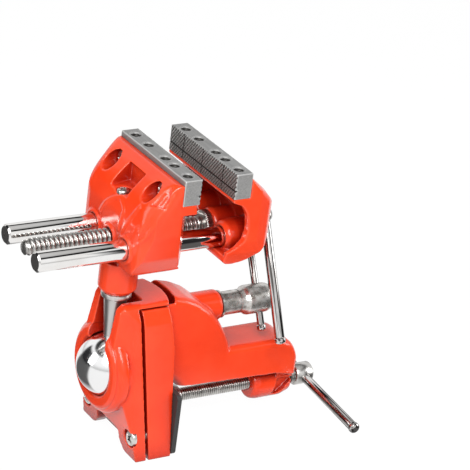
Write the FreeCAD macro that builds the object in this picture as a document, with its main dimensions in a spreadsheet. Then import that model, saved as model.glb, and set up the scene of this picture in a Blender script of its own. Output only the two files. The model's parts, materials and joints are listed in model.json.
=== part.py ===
import FreeCAD, Part, Sketcher
import os

from FreeCAD import Placement, Rotation, Vector

# Ball vise: two jaws on twin guide rods, a ball joint that tilts and swivels
# them, and a base that clamps on an edge. The origin is the centre of the base's
# rubber pad face, +X points out of that face, +Y along the jaws and +Z up.

SIZES = {
    # fits
    "running_gap": 0.05,
    "ball_gap": 0.08,
    # base casting
    "base_half_width": 33,
    "base_bottom": -20.5,
    "base_crown": 74.5,
    "side_lean": 8.1,
    "crown_half_width": 15.5,
    "crown_drop": 6.5,
    "crown_pocket": 3.2,
    "crown_groove_depth": 10,
    "crown_arc_x": -38.5,
    "crown_arc_radius": 40,
    "arm_half_width": 15,
    "arm_top": 34.5,
    "arm_underside": 13,
    "arm_reach": 94.5,
    "end_boss_radius": 10.5,
    "end_boss_start": 66.5,
    "rib_half_width": 3.5,
    "parting_bottom": -19.5,
    "parting_top": -27,
    "parting_gap": 1.0,
    "parting_spread": 0.5,
    # rubber pad
    "pad_thickness": 3,
    "pad_bottom": -20,
    "pad_top": 19.5,
    # ball and its neck
    "ball_x": -33,
    "ball_z": 29.5,
    "ball_radius": 19,
    "neck_low_radius": 4.7,
    "neck_high_radius": 7,
    "flange_radius": 9,
    "flange_start": 45,
    "flange_end": 48.6,
    "stud_radius": 4,
    "stud_end": 64,
    # ball cover
    "slot_half_width": 9.8,
    "dome_radius": 28.3,
    "dome_front": -42.5,
    "mouth_radius": 17.3,
    "cover_back": -16,
    "bridge_thickness": 2.2,
    "bridge_arc_radius": 35.8,
    "bridge_front": -20.8,
    "tab_half_width": 9,
    "tab_bottom": 50,
    "foot_notch_half_width": 13,
    "foot_notch_top": -7.5,
    "cover_screw_y": 26.5,
    "cover_screw_z": -6.9,
    "cover_screw_radius": 2.5,
    "cover_screw_head_radius": 4.75,
    "cover_screw_head_height": 3,
    "cover_screw_recess_radius": 5.7,
    "cover_screw_seat": -26.4,
    "cover_screw_end": -9,
    # lock screw and its bar
    "lock_z": 58.2,
    "lock_radius": 5,
    "lock_tip": -20.3,
    "lock_boss_radius": 9.4,
    "lock_boss_end": 37.5,
    "lock_washer_radius": 8.4,
    "lock_washer_thickness": 1.4,
    "lock_collar_radius": 7.2,
    "lock_hub_start": 56.5,
    "lock_hub_radius": 9,
    "lock_hub_end": 77,
    "lock_bar_x": 66,
    "lock_bar_radius": 2.25,
    "lock_bar_cap_radius": 2.75,
    "lock_bar_up": 34,
    "lock_bar_down": 20,
    "lock_bar_lean": 29,
    # clamp screw, its bar and foot
    "clamp_z": 0,
    "clamp_radius": 4,
    "foot_face": 8,
    "foot_radius": 9,
    "foot_length": 9,
    "clamp_neck_clear": 2.5,
    "clamp_hub_clear": 5.5,
    "clamp_hub_length": 12.3,
    "clamp_hub_radius": 6.8,
    "clamp_bar_inset": 6.3,
    "clamp_bar_radius": 3,
    "clamp_bar_reach": 64.5,
    "clamp_bar_back": 13,
    "clamp_bar_lean": 94.9,
    "bar_cap_radius": 3.4,
    "bar_cap_length": 4,
    # jaws
    "jaw_half_width": 37.5,
    "jaw_gap": 22.5,
    "plate_thickness": 11,
    "plate_bottom": 146,
    "plate_top": 161.5,
    "fixed_plate_face": -8,
    "peg_hole_radius": 2.95,
    "peg_hole_pitch": 15,
    "peg_hole_middle": -4.5,
    "peg_hole_depth": 12,
    "casting_drop": 3,
    "fixed_back": -42,
    "fixed_front": -8.5,
    "jaw_floor": 95.5,
    "neck_boss_radius": 11.5,
    "neck_boss_bottom": 78.35,
    "moving_inner": 23,
    "moving_back": 51,
    "moving_cavity_back": 38,
    "moving_rim": 5,
    # guide rods and lead screw
    "rod_half_pitch": 18.5,
    "rod_radius": 6,
    "rod_z": 114,
    "rod_left": -99,
    "rod_right": 44,
    "lead_radius": 5,
    "lead_left": -97,
    "lead_collar_radius": 8,
    "lead_collar_length": 4.2,
    "lead_hub_start": 51.3,
    "lead_hub_end": 67.5,
    "lead_hub_radius": 5.1,
    "lead_bar_x": 62.8,
    "lead_bar_radius": 3,
    "lead_bar_down": 77.5,
    "lead_bar_up": 13,
    "lead_bar_lean": 27,
    # pocket and upright screw in the fixed jaw's back
    "pocket_half_width": 9.3,
    "pocket_depth_x": -26.3,
    "pocket_bottom": 143.2,
    "pocket_top": 155,
    "jaw_screw_x": -36.2,
    "jaw_screw_seat": 140.4,
    "jaw_screw_head_radius": 3.5,
    # jaw plate screws
    "plate_screw_y": 23.3,
    "plate_screw_z": 150.6,
    "plate_screw_radius": 2.5,
    "plate_screw_head_radius": 4.4,
    "plate_screw_head_height": 2.8,
}

AXES = {"X": Vector(1, 0, 0), "Y": Vector(0, 1, 0), "Z": Vector(0, 0, 1)}

doc = FreeCAD.newDocument("BallVise")


class Dim:
    """A size in mm that carries the sheet expression it comes from."""

    def __init__(self, value, text):
        self.value = float(value)
        self.text = text

    def __add__(self, other):
        other = dim(other)
        return Dim(self.value + other.value, f"({self.text} + {other.text})")

    def __radd__(self, other):
        return dim(other) + self

    def __sub__(self, other):
        other = dim(other)
        return Dim(self.value - other.value, f"({self.text} - {other.text})")

    def __rsub__(self, other):
        return dim(other) - self

    def __mul__(self, other):
        other = dim(other)
        return Dim(self.value * other.value, f"({self.text} * {other.text})")

    def __rmul__(self, other):
        return dim(other) * self

    def __truediv__(self, other):
        other = dim(other)
        return Dim(self.value / other.value, f"({self.text} / {other.text})")

    def __neg__(self):
        return 0 - self


def dim(number):
    """A plain number as a size without a cell of its own."""
    if isinstance(number, Dim):
        return number
    return Dim(number, f"({number:.8g})" if number < 0 else f"{number:.8g}")


class Cells:
    """The sheet's cells by name."""

    def __getattr__(self, name):
        return Dim(SIZES[name], f"Sizes.{name}")


def fill_sheet():
    """One row for each driving size: its name, its value and its alias."""
    sheet = doc.addObject("Spreadsheet::Sheet", "Sizes")
    for row, (name, value) in enumerate(SIZES.items(), start=1):
        sheet.set(f"A{row}", name)
        sheet.set(f"B{row}", str(value))
        sheet.setAlias(f"B{row}", name)
    doc.recompute()
    return Cells()


def bind(obj, prop, size):
    """Set a property and tie it to the sheet."""
    size = dim(size)
    setattr(obj, prop, size.value)
    if "Sizes." in size.text:
        obj.setExpression(prop, size.text)


def place(obj, at=(0, 0, 0), turn=Rotation()):
    """Give an object its place, tied to the sheet."""
    at = [dim(v) for v in at]
    obj.Placement = Placement(Vector(*[v.value for v in at]), turn)
    for letter, v in zip("xyz", at):
        if "Sizes." in v.text:
            obj.setExpression(f"Placement.Base.{letter}", v.text)
    return obj


def facing(axis, spin=0):
    """The turn that points an object's own Z along an axis, after a spin about it."""
    return Rotation(Vector(0, 0, 1), AXES[axis]).multiply(
        Rotation(Vector(0, 0, 1), spin)
    )


def leaning(angle):
    """The turn that tips an object's own Z from upright towards +Y."""
    return Rotation(Vector(1, 0, 0), -angle)


def draw(body, name, plane, outlines, level=0):
    """A sketch of closed outlines. A circle is (x, y, radius), else a list of corners."""
    sketch = body.newObject("Sketcher::SketchObject", name)
    role = plane + "_Plane"
    origin = next(f for f in body.Origin.OriginFeatures if f.Role == role)
    sketch.AttachmentSupport = (origin, [""])
    sketch.MapMode = "FlatFace"
    level = dim(level)
    sketch.AttachmentOffset = Placement(Vector(0, 0, level.value), Rotation())
    if "Sizes." in level.text:
        sketch.setExpression("AttachmentOffset.Base.z", level.text)
    rules = []
    sizes = []
    for outline in outlines:
        first = sketch.GeometryCount
        if isinstance(outline, tuple):
            x, y, radius = [dim(v) for v in outline]
            centre = Vector(x.value, y.value, 0)
            circle = Part.Circle(centre, Vector(0, 0, 1), radius.value)
            sketch.addGeometry(circle, False)
            rules.append(Sketcher.Constraint("DistanceX", -1, 1, first, 3, x.value))
            rules.append(Sketcher.Constraint("DistanceY", -1, 1, first, 3, y.value))
            rules.append(Sketcher.Constraint("Radius", first, radius.value))
            sizes += [x, y, radius]
            continue
        corners = [(dim(x), dim(y)) for x, y in outline]
        points = [Vector(x.value, y.value, 0) for x, y in corners]
        count = len(points)
        lines = [
            Part.LineSegment(points[i], points[(i + 1) % count]) for i in range(count)
        ]
        sketch.addGeometry(lines, False)
        for i in range(count):
            here, then = first + i, first + (i + 1) % count
            rules.append(Sketcher.Constraint("Coincident", here, 2, then, 1))
            sizes.append(None)
        for i, (x, y) in enumerate(corners):
            here = first + i
            rules.append(Sketcher.Constraint("DistanceX", -1, 1, here, 1, x.value))
            rules.append(Sketcher.Constraint("DistanceY", -1, 1, here, 1, y.value))
            sizes += [x, y]
    sketch.addConstraint(rules)
    for i, size in enumerate(sizes):
        if size is not None and "Sizes." in size.text:
            sketch.setExpression(f"Constraints[{i}]", size.text)
    return sketch


def round_edges(body, name, rounds, matches):
    """Fillets on the edges of a body that match each given corner."""
    for number, (radius, corners) in enumerate(rounds, start=1):
        doc.recompute()
        tip = body.Tip
        spots = [[dim(v).value for v in corner] for corner in corners]
        names = [
            f"Edge{i}"
            for i, edge in enumerate(tip.Shape.Edges, start=1)
            if any(matches(edge, spot) for spot in spots)
        ]
        fillet = body.newObject("PartDesign::Fillet", f"{name}_round{number}")
        fillet.Base = (tip, names)
        bind(fillet, "Radius", radius)
        body.Tip = fillet
    doc.recompute()


def slab(name, plane, corners, start, end, rounds=()):
    """A flat outline padded along its normal from start to end."""
    body = doc.addObject("PartDesign::Body", name)
    start, end = dim(start), dim(end)
    level = -end if plane == "XZ" else start  # the XZ plane faces -Y
    sketch = draw(body, name + "_outline", plane, [corners], level)
    pad = body.newObject("PartDesign::Pad", name + "_pad")
    pad.Profile = sketch
    bind(pad, "Length", end - start)
    body.Tip = pad
    across = {"XZ": (0, 2), "YZ": (1, 2), "XY": (0, 1)}[plane]
    along = 3 - sum(across)

    def stands_at(edge, spot):
        a, b = edge.Vertexes[0].Point, edge.Vertexes[-1].Point
        if len(edge.Vertexes) < 2 or abs(a[along] - b[along]) < 0.01:
            return False
        return all(
            abs(v[k] - spot[n]) < 1e-3 for v in (a, b) for n, k in enumerate(across)
        )

    round_edges(body, name, rounds, stands_at)
    return body


def turned(name, outline, at=(0, 0, 0), turn=Rotation(), rounds=(), holes=()):
    """A lathe-turned piece: (radius, height) corners about its own Z axis."""
    body = doc.addObject("PartDesign::Body", name)
    sketch = draw(body, name + "_outline", "XZ", [outline])
    spin = body.newObject("PartDesign::Revolution", name + "_turn")
    spin.Profile = sketch
    spin.ReferenceAxis = (sketch, ["V_Axis"])
    spin.Angle = 360
    body.Tip = spin

    def is_rim(edge, spot):
        curve = edge.Curve
        return (
            isinstance(curve, Part.Circle)
            and abs(curve.Radius - spot[0]) < 1e-3
            and abs(curve.Center.z - spot[1]) < 1e-3
        )

    round_edges(body, name, rounds, is_rim)
    for number, (height, radius) in enumerate(holes, start=1):
        circle = draw(body, f"{name}_hole{number}", "XZ", [(0, height, radius)])
        bore = body.newObject("PartDesign::Pocket", f"{name}_bore{number}")
        bore.Profile = circle
        bore.Type = "ThroughAll"
        bore.Midplane = True
        body.Tip = bore
    doc.recompute()
    return place(body, at, turn)


def rod(name, radius, start, end, axis="X", at=(0, 0, 0)):
    """A plain cylinder along an axis from start to end."""
    piece = doc.addObject("Part::Cylinder", name)
    bind(piece, "Radius", radius)
    bind(piece, "Height", dim(end) - start)
    spot = list(at)
    spot["XYZ".index(axis)] = start
    return place(piece, spot, facing(axis))


def cone(name, low_radius, high_radius, start, end, axis="X", at=(0, 0, 0)):
    """A cone along an axis from start to end."""
    piece = doc.addObject("Part::Cone", name)
    bind(piece, "Radius1", low_radius)
    bind(piece, "Radius2", high_radius)
    bind(piece, "Height", dim(end) - start)
    spot = list(at)
    spot["XYZ".index(axis)] = start
    return place(piece, spot, facing(axis))


def block(name, low, high):
    """A box between two corners."""
    piece = doc.addObject("Part::Box", name)
    low, high = [dim(v) for v in low], [dim(v) for v in high]
    for prop, a, b in zip(("Length", "Width", "Height"), low, high):
        bind(piece, prop, b - a)
    return place(piece, low)


def sphere(name, radius, at):
    piece = doc.addObject("Part::Sphere", name)
    bind(piece, "Radius", radius)
    return place(piece, at)


def fuse(name, *pieces):
    joined = doc.addObject("Part::MultiFuse", name)
    joined.Shapes = list(pieces)
    joined.Refine = True
    return joined


def common(name, first, second):
    shared = doc.addObject("Part::Common", name)
    shared.Base, shared.Tool = first, second
    return shared


def cut(name, base, *tools):
    """Take one or several tools out of a base."""
    tool = tools[0]
    if len(tools) > 1:
        tool = doc.addObject("Part::MultiFuse", name + "_tools")
        tool.Shapes = list(tools)
    result = doc.addObject("Part::Cut", name)
    result.Base, result.Tool = base, tool
    result.Refine = True
    return result


size = fill_sheet()
NODES = {}


def node(name, piece):
    """Name a finished piece of the vise."""
    piece.Label = name
    NODES[name] = piece
    return piece


ball_centre = (size.ball_x, 0, size.ball_z)
jaw_screw_place = (size.jaw_screw_x, 0, size.jaw_screw_seat)
parting_rise = size.base_crown - size.base_bottom


def parting_x(height, spread=0):
    """Where the sloping joint between cover and base lies at a height."""
    part = (dim(height) - size.base_bottom) / parting_rise
    bottom = size.parting_bottom + dim(spread) * size.parting_gap
    top = size.parting_top + dim(spread) * (size.parting_gap + size.parting_spread)
    return bottom + (top - bottom) * part


# Base casting ---------------------------------------------------------------

pad_seat = -size.pad_thickness


def leaning_plan(name, side, corners, rounds=()):
    """A plan outline carried up along the base's leaning side. Its corners are
    (x, distance in from the side), and side is -1 for the front, 1 for the back."""
    up = size.base_crown + 20 - size.base_bottom
    plan = slab(
        name,
        "XY",
        [(x, -side * dim(inward)) for x, inward in corners],
        -10,
        up,
        rounds=[(r, [(x, -side * dim(inward)) for x, inward in spots]) for r, spots in rounds],
    )
    lean = Rotation(Vector(1, 0, 0), side * SIZES["side_lean"])
    return place(plan, (0, side * size.base_half_width, size.base_bottom), lean)


def make_clamp_body():
    crown, w = size.base_crown, size.base_half_width
    wide = slab(
        "base_block",
        "XZ",
        [
            (parting_x(size.base_bottom, 1), size.base_bottom),
            (pad_seat, size.base_bottom),
            (pad_seat, size.pad_top + 27),
            (pad_seat - 3.6, crown - 3),
            (pad_seat - 3.6, crown),
            (parting_x(crown, 1), crown),
        ],
        -w,
        w,
        rounds=[(12, [(pad_seat, size.pad_top + 27)])],
    )
    front = slab(
        "base_front_view",
        "YZ",
        [
            (-w - 1, size.base_bottom),
            (w + 1, size.base_bottom),
            (w + 1, size.ball_z),
            (size.crown_half_width + 3.7, crown - size.crown_drop),
            (size.crown_half_width, crown),
            (-size.crown_half_width, crown),
            (-size.crown_half_width - 3.7, crown - size.crown_drop),
            (-w - 1, size.ball_z),
        ],
        -60,
        5,
    )
    wide = common("base_block_shaped", wide, front)
    for name, side in (("near", -1), ("far", 1)):
        plan = leaning_plan(
            f"base_{name}_side",
            side,
            [(-60, 0), (pad_seat + 2, 0), (pad_seat + 2, 2 * w + 20), (-60, 2 * w + 20)],
        )
        wide = common(f"base_block_{name}", wide, plan)
    gusset = slab(
        "arm_gusset",
        "XZ",
        [
            (-12, size.pad_top + 0.4),
            (3, size.pad_top + 0.4),
            (8, size.arm_underside + 1.6),
            (size.arm_reach - 18, size.arm_underside - 0.7),
            (size.arm_reach, size.arm_underside - 4),
            (size.arm_reach, size.arm_top),
            (42.5, size.arm_top),
            (41.5, 37.5),
            (38.5, 44.5),
            (33, 53.5),
            (26, 61.8),
            (18, 68),
            (9, 72.3),
            (0, crown),
            (-12, crown),
        ],
        -size.arm_half_width,
        size.arm_half_width,
        rounds=[
            (9, [(size.arm_reach, size.arm_top)]),
            (5, [(3, size.pad_top + 0.4)]),
            (20, [(38.5, 44.5), (33, 53.5), (26, 61.8), (18, 68), (9, 72.3), (0, crown)]),
        ],
    )

    def on_ridge(edge, spot):
        return all(
            abs(abs(p.y) - spot[0]) < 1e-3 and p.z > spot[1]
            for p in edge.discretize(5)
        )

    ridge = [(4.5, [(size.arm_half_width, size.arm_underside)])]
    round_edges(gusset, "gusset_ridge", ridge, on_ridge)
    lock_boss = turned(
        "lock_boss",
        [
            (0, 10),
            (size.lock_boss_radius, 10),
            (size.lock_boss_radius, size.lock_boss_end),
            (0, size.lock_boss_end),
        ],
        (0, 0, size.lock_z),
        facing("X"),
        rounds=[(2.5, [(size.lock_boss_radius, size.lock_boss_end)])],
    )
    end_boss = turned(
        "end_boss",
        [
            (0, size.end_boss_start),
            (size.end_boss_radius - 1, size.end_boss_start),
            (size.end_boss_radius, size.end_boss_start + 4),
            (size.end_boss_radius, size.arm_reach - 7),
            (size.end_boss_radius - 2, size.arm_reach - 0.5),
            (0, size.arm_reach - 0.5),
        ],
        (0, 0, size.clamp_z),
        facing("X"),
        rounds=[(2, [(size.end_boss_radius - 1, size.end_boss_start)])],
    )
    web = slab(
        "end_web",
        "XZ",
        [
            (size.arm_reach - 11, size.clamp_z),
            (size.arm_reach - 2, size.clamp_z),
            (size.arm_reach - 0.2, size.arm_underside - 4),
            (size.arm_reach - 0.2, size.arm_underside + 4),
            (size.arm_reach - 14, size.arm_underside + 4),
        ],
        1 - size.end_boss_radius,
        size.end_boss_radius - 1,
    )
    rib = slab(
        "end_rib",
        "XZ",
        [
            (size.end_boss_start + 1, size.clamp_z - size.end_boss_radius + 2),
            (size.arm_reach - 8, size.clamp_z),
            (size.arm_reach - 8, size.arm_underside + 3),
            (size.end_boss_start - 2, size.arm_underside + 3),
        ],
        -size.rib_half_width,
        size.rib_half_width,
    )
    solid = fuse("base_solid", wide, gusset, lock_boss, end_boss, web, rib)
    pocket_floor = crown - size.crown_pocket
    pocket = rod(
        "crown_pocket", size.crown_arc_radius, pocket_floor, crown + 10, "Z",
        (size.crown_arc_x, 0, 0),
    )
    groove = cut(
        "crown_groove",
        rod("crown_groove_outer", size.crown_arc_radius, pocket_floor + 2 - size.crown_groove_depth,
            pocket_floor + 2, "Z", (size.crown_arc_x, 0, 0)),
        rod("crown_groove_inner", size.bridge_arc_radius - 1.5,
            pocket_floor + 1 - size.crown_groove_depth, pocket_floor + 3, "Z",
            (size.crown_arc_x, 0, 0)),
    )
    groove = common(
        "crown_groove_span",
        groove,
        block("crown_groove_reach", (-20, 2 - size.arm_half_width, 50),
              (10, size.arm_half_width - 2, crown + 20)),
    )
    socket = sphere("base_socket", size.ball_radius + size.ball_gap, ball_centre)
    neck_slot = block(
        "base_neck_slot",
        (size.parting_top - 10, -size.slot_half_width - 0.7, size.ball_z + 14),
        (size.cover_back + 1.5, size.slot_half_width + 0.7, crown + 5),
    )
    clamp_bore = rod(
        "base_clamp_bore",
        size.clamp_radius + size.running_gap,
        size.end_boss_start - 5,
        size.arm_reach + 5,
        "X",
        (0, 0, size.clamp_z),
    )
    lock_bore = rod(
        "base_lock_bore",
        size.lock_radius + size.running_gap,
        size.ball_x,
        size.lock_boss_end + 5,
        "X",
        (0, 0, size.lock_z),
    )
    screw_bores = [
        rod(
            f"base_screw_bore{i}",
            size.cover_screw_radius + size.running_gap,
            size.cover_screw_seat,
            size.cover_screw_end + 1,
            "X",
            (0, side * size.cover_screw_y, size.cover_screw_z),
        )
        for i, side in enumerate((-1, 1))
    ]
    return cut(
        "clamp_body_solid", solid, pocket, groove, socket, neck_slot, clamp_bore, lock_bore,
        *screw_bores,
    )


def make_ball_cover():
    crown, w = size.base_crown, size.base_half_width
    joint_top = crown - size.bridge_thickness
    n = size.foot_notch_half_width
    profile = slab(
        "cover_profile",
        "XZ",
        [
            (parting_x(size.base_bottom), size.base_bottom),
            (parting_x(joint_top), joint_top),
            (size.cover_back, joint_top),
            (size.cover_back, crown),
            (size.ball_x - 2, crown),
            (size.ball_x - 5, crown - 3.5),
            (size.ball_x - 6, size.ball_z + 34),
            (size.ball_x - 8, size.ball_z + 20),
            (size.ball_x - 7, size.ball_z + 4),
            (size.ball_x + 3.4, size.foot_notch_top + 1.5),
            (size.ball_x + 6.3, size.base_bottom),
        ],
        -w - 1,
        w + 1,
        rounds=[
            (3, [(size.ball_x - 2, crown), (size.ball_x - 5, crown - 3.5)]),
            (15, [(size.ball_x - 8, size.ball_z + 20), (size.ball_x - 7, size.ball_z + 4)]),
        ],
    )
    front = slab(
        "cover_front_view",
        "YZ",
        [
            (-w - 1, size.base_bottom),
            (-n - 5.5, size.base_bottom),
            (-n, size.base_bottom + 6),
            (-n, size.foot_notch_top),
            (n, size.foot_notch_top),
            (n, size.base_bottom + 6),
            (n + 5.5, size.base_bottom),
            (w + 1, size.base_bottom),
            (w + 1, size.ball_z),
            (size.crown_half_width + 4.5, crown - size.crown_drop),
            (size.crown_half_width, crown),
            (-size.crown_half_width, crown),
            (-size.crown_half_width - 4.5, crown - size.crown_drop),
            (-w - 1, size.ball_z),
        ],
        size.dome_front - 10,
        size.cover_back + 5,
        rounds=[
            (3, [(-n, size.foot_notch_top), (n, size.foot_notch_top)]),
            (5, [(-n, size.base_bottom + 6), (n, size.base_bottom + 6),
                 (-n - 5.5, size.base_bottom), (n + 5.5, size.base_bottom)]),
            (5, [(size.crown_half_width, crown), (-size.crown_half_width, crown)]),
        ],
    )
    shell = common("cover_shell", profile, front)
    for name, side in (("near", -1), ("far", 1)):
        plan = leaning_plan(
            f"cover_{name}_side",
            side,
            [(size.ball_x - 20, 13), (size.ball_x - 5, 4.5), (size.ball_x + 3, 0),
             (size.cover_back + 5, 0), (size.cover_back + 5, 2 * w + 20),
             (size.ball_x - 20, 2 * w + 20)],
            rounds=[(8, [(size.ball_x - 5, 4.5), (size.ball_x + 3, 0)])],
        )
        shell = common(f"cover_shell_{name}", shell, plan)
    depth = size.ball_x - size.dome_front
    dome = turned(
        "cover_dome",
        [
            (0, 0.2),
            (size.dome_radius - 2.2, 0.2),
            (size.dome_radius - 0.6, 0.8),
            (size.dome_radius, 2),
            (size.dome_radius, depth - 5),
            (size.dome_radius - 0.4, depth - 3.8),
            (size.dome_radius - 1.8, depth - 2.2),
            (size.dome_radius - 4.4, depth - 0.8),
            (size.mouth_radius + 5.2, depth),
            (0, depth),
        ],
        ball_centre,
        facing("X").multiply(Rotation(Vector(1, 0, 0), 180)),
    )
    bridge = rod(
        "cover_bridge_arc", size.bridge_arc_radius, joint_top, crown, "Z", (size.crown_arc_x, 0, 0)
    )
    bridge_span = slab(
        "cover_bridge_span",
        "YZ",
        [
            (-size.crown_half_width - 2, joint_top - 0.5),
            (size.crown_half_width + 2, joint_top - 0.5),
            (size.crown_half_width, crown),
            (-size.crown_half_width, crown),
        ],
        size.ball_x + 8,
        5,
        rounds=[(1, [(size.crown_half_width, crown), (-size.crown_half_width, crown)])],
    )
    bridge = common("cover_bridge", bridge, bridge_span)
    tab = block(
        "cover_tab",
        (size.bridge_front, -size.tab_half_width, size.tab_bottom),
        (size.cover_back, size.tab_half_width, joint_top + 1),
    )
    solid = fuse("cover_solid", shell, dome, bridge, tab)
    socket = sphere("cover_socket", size.ball_radius + size.ball_gap, ball_centre)
    mouth = cone(
        "cover_mouth",
        size.mouth_radius + 2,
        size.mouth_radius - 1,
        size.dome_front - 1,
        size.dome_front + 2,
        "X",
        (0, 0, size.ball_z),
    )
    slot = block(
        "cover_slot",
        (size.dome_front - 15, -size.slot_half_width, size.ball_z),
        (size.bridge_front, size.slot_half_width, crown + 5),
    )
    thread = rod(
        "cover_lock_bore",
        size.lock_radius + size.running_gap,
        size.ball_x,
        size.cover_back + 5,
        "X",
        (0, 0, size.lock_z),
    )
    cuts = [socket, mouth, slot, thread]
    for i, side in enumerate((-1, 1)):
        at = (0, side * size.cover_screw_y, size.cover_screw_z)
        cuts.append(
            rod(
                f"cover_recess{i}",
                size.cover_screw_recess_radius,
                size.dome_front - 10,
                size.cover_screw_seat,
                "X",
                at,
            )
        )
        cuts.append(
            rod(
                f"cover_screw_bore{i}",
                size.cover_screw_radius + size.running_gap,
                size.cover_screw_seat - 1,
                size.cover_screw_end,
                "X",
                at,
            )
        )
    return cut("ball_cover_solid", solid, *cuts)


def make_rubber_pad():
    w = size.base_half_width
    return slab(
        "pad_solid",
        "YZ",
        [
            (-w, size.pad_bottom),
            (w, size.pad_bottom),
            (w, size.pad_top),
            (-w, size.pad_top),
        ],
        -size.pad_thickness,
        0,
        rounds=[
            (
                3,
                [
                    (-w, size.pad_bottom),
                    (w, size.pad_bottom),
                    (w, size.pad_top),
                    (-w, size.pad_top),
                ],
            )
        ],
    )


def make_screw(name, radius, head_radius, head_height, seat, end, y, z, axis_sign=1):
    """A pan-head screw along X: the head stands on its seat, the shank runs to end."""
    length = (dim(end) - seat) if axis_sign > 0 else (dim(seat) - end)
    turn = facing("X")
    if axis_sign < 0:
        turn = turn.multiply(Rotation(Vector(1, 0, 0), 180))
    return turned(
        name,
        [
            (0, -head_height),
            (head_radius - 1.2, -head_height),
            (head_radius, 0.9 - head_height),
            (head_radius, 0),
            (radius, 0),
            (radius, length),
            (0, length),
        ],
        (seat, y, z),
        turn,
    )


# Ball stud ------------------------------------------------------------------


def make_ball_stud():
    ball = sphere("stud_ball", size.ball_radius, ball_centre)
    neck = turned(
        "stud_neck",
        [
            (0, size.ball_radius - 4),
            (size.neck_low_radius, size.ball_radius - 4),
            (size.neck_low_radius, size.ball_radius + 2),
            (size.neck_high_radius, size.flange_start),
            (size.flange_radius, size.flange_start),
            (size.flange_radius, size.flange_end),
            (size.stud_radius, size.flange_end),
            (size.stud_radius, size.stud_end),
            (0, size.stud_end),
        ],
        ball_centre,
        rounds=[
            (1, [(size.flange_radius, size.flange_start), (size.flange_radius, size.flange_end)]),
        ],
    )
    return fuse("ball_stud_solid", ball, neck)


# Fixed jaw ------------------------------------------------------------------


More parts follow.
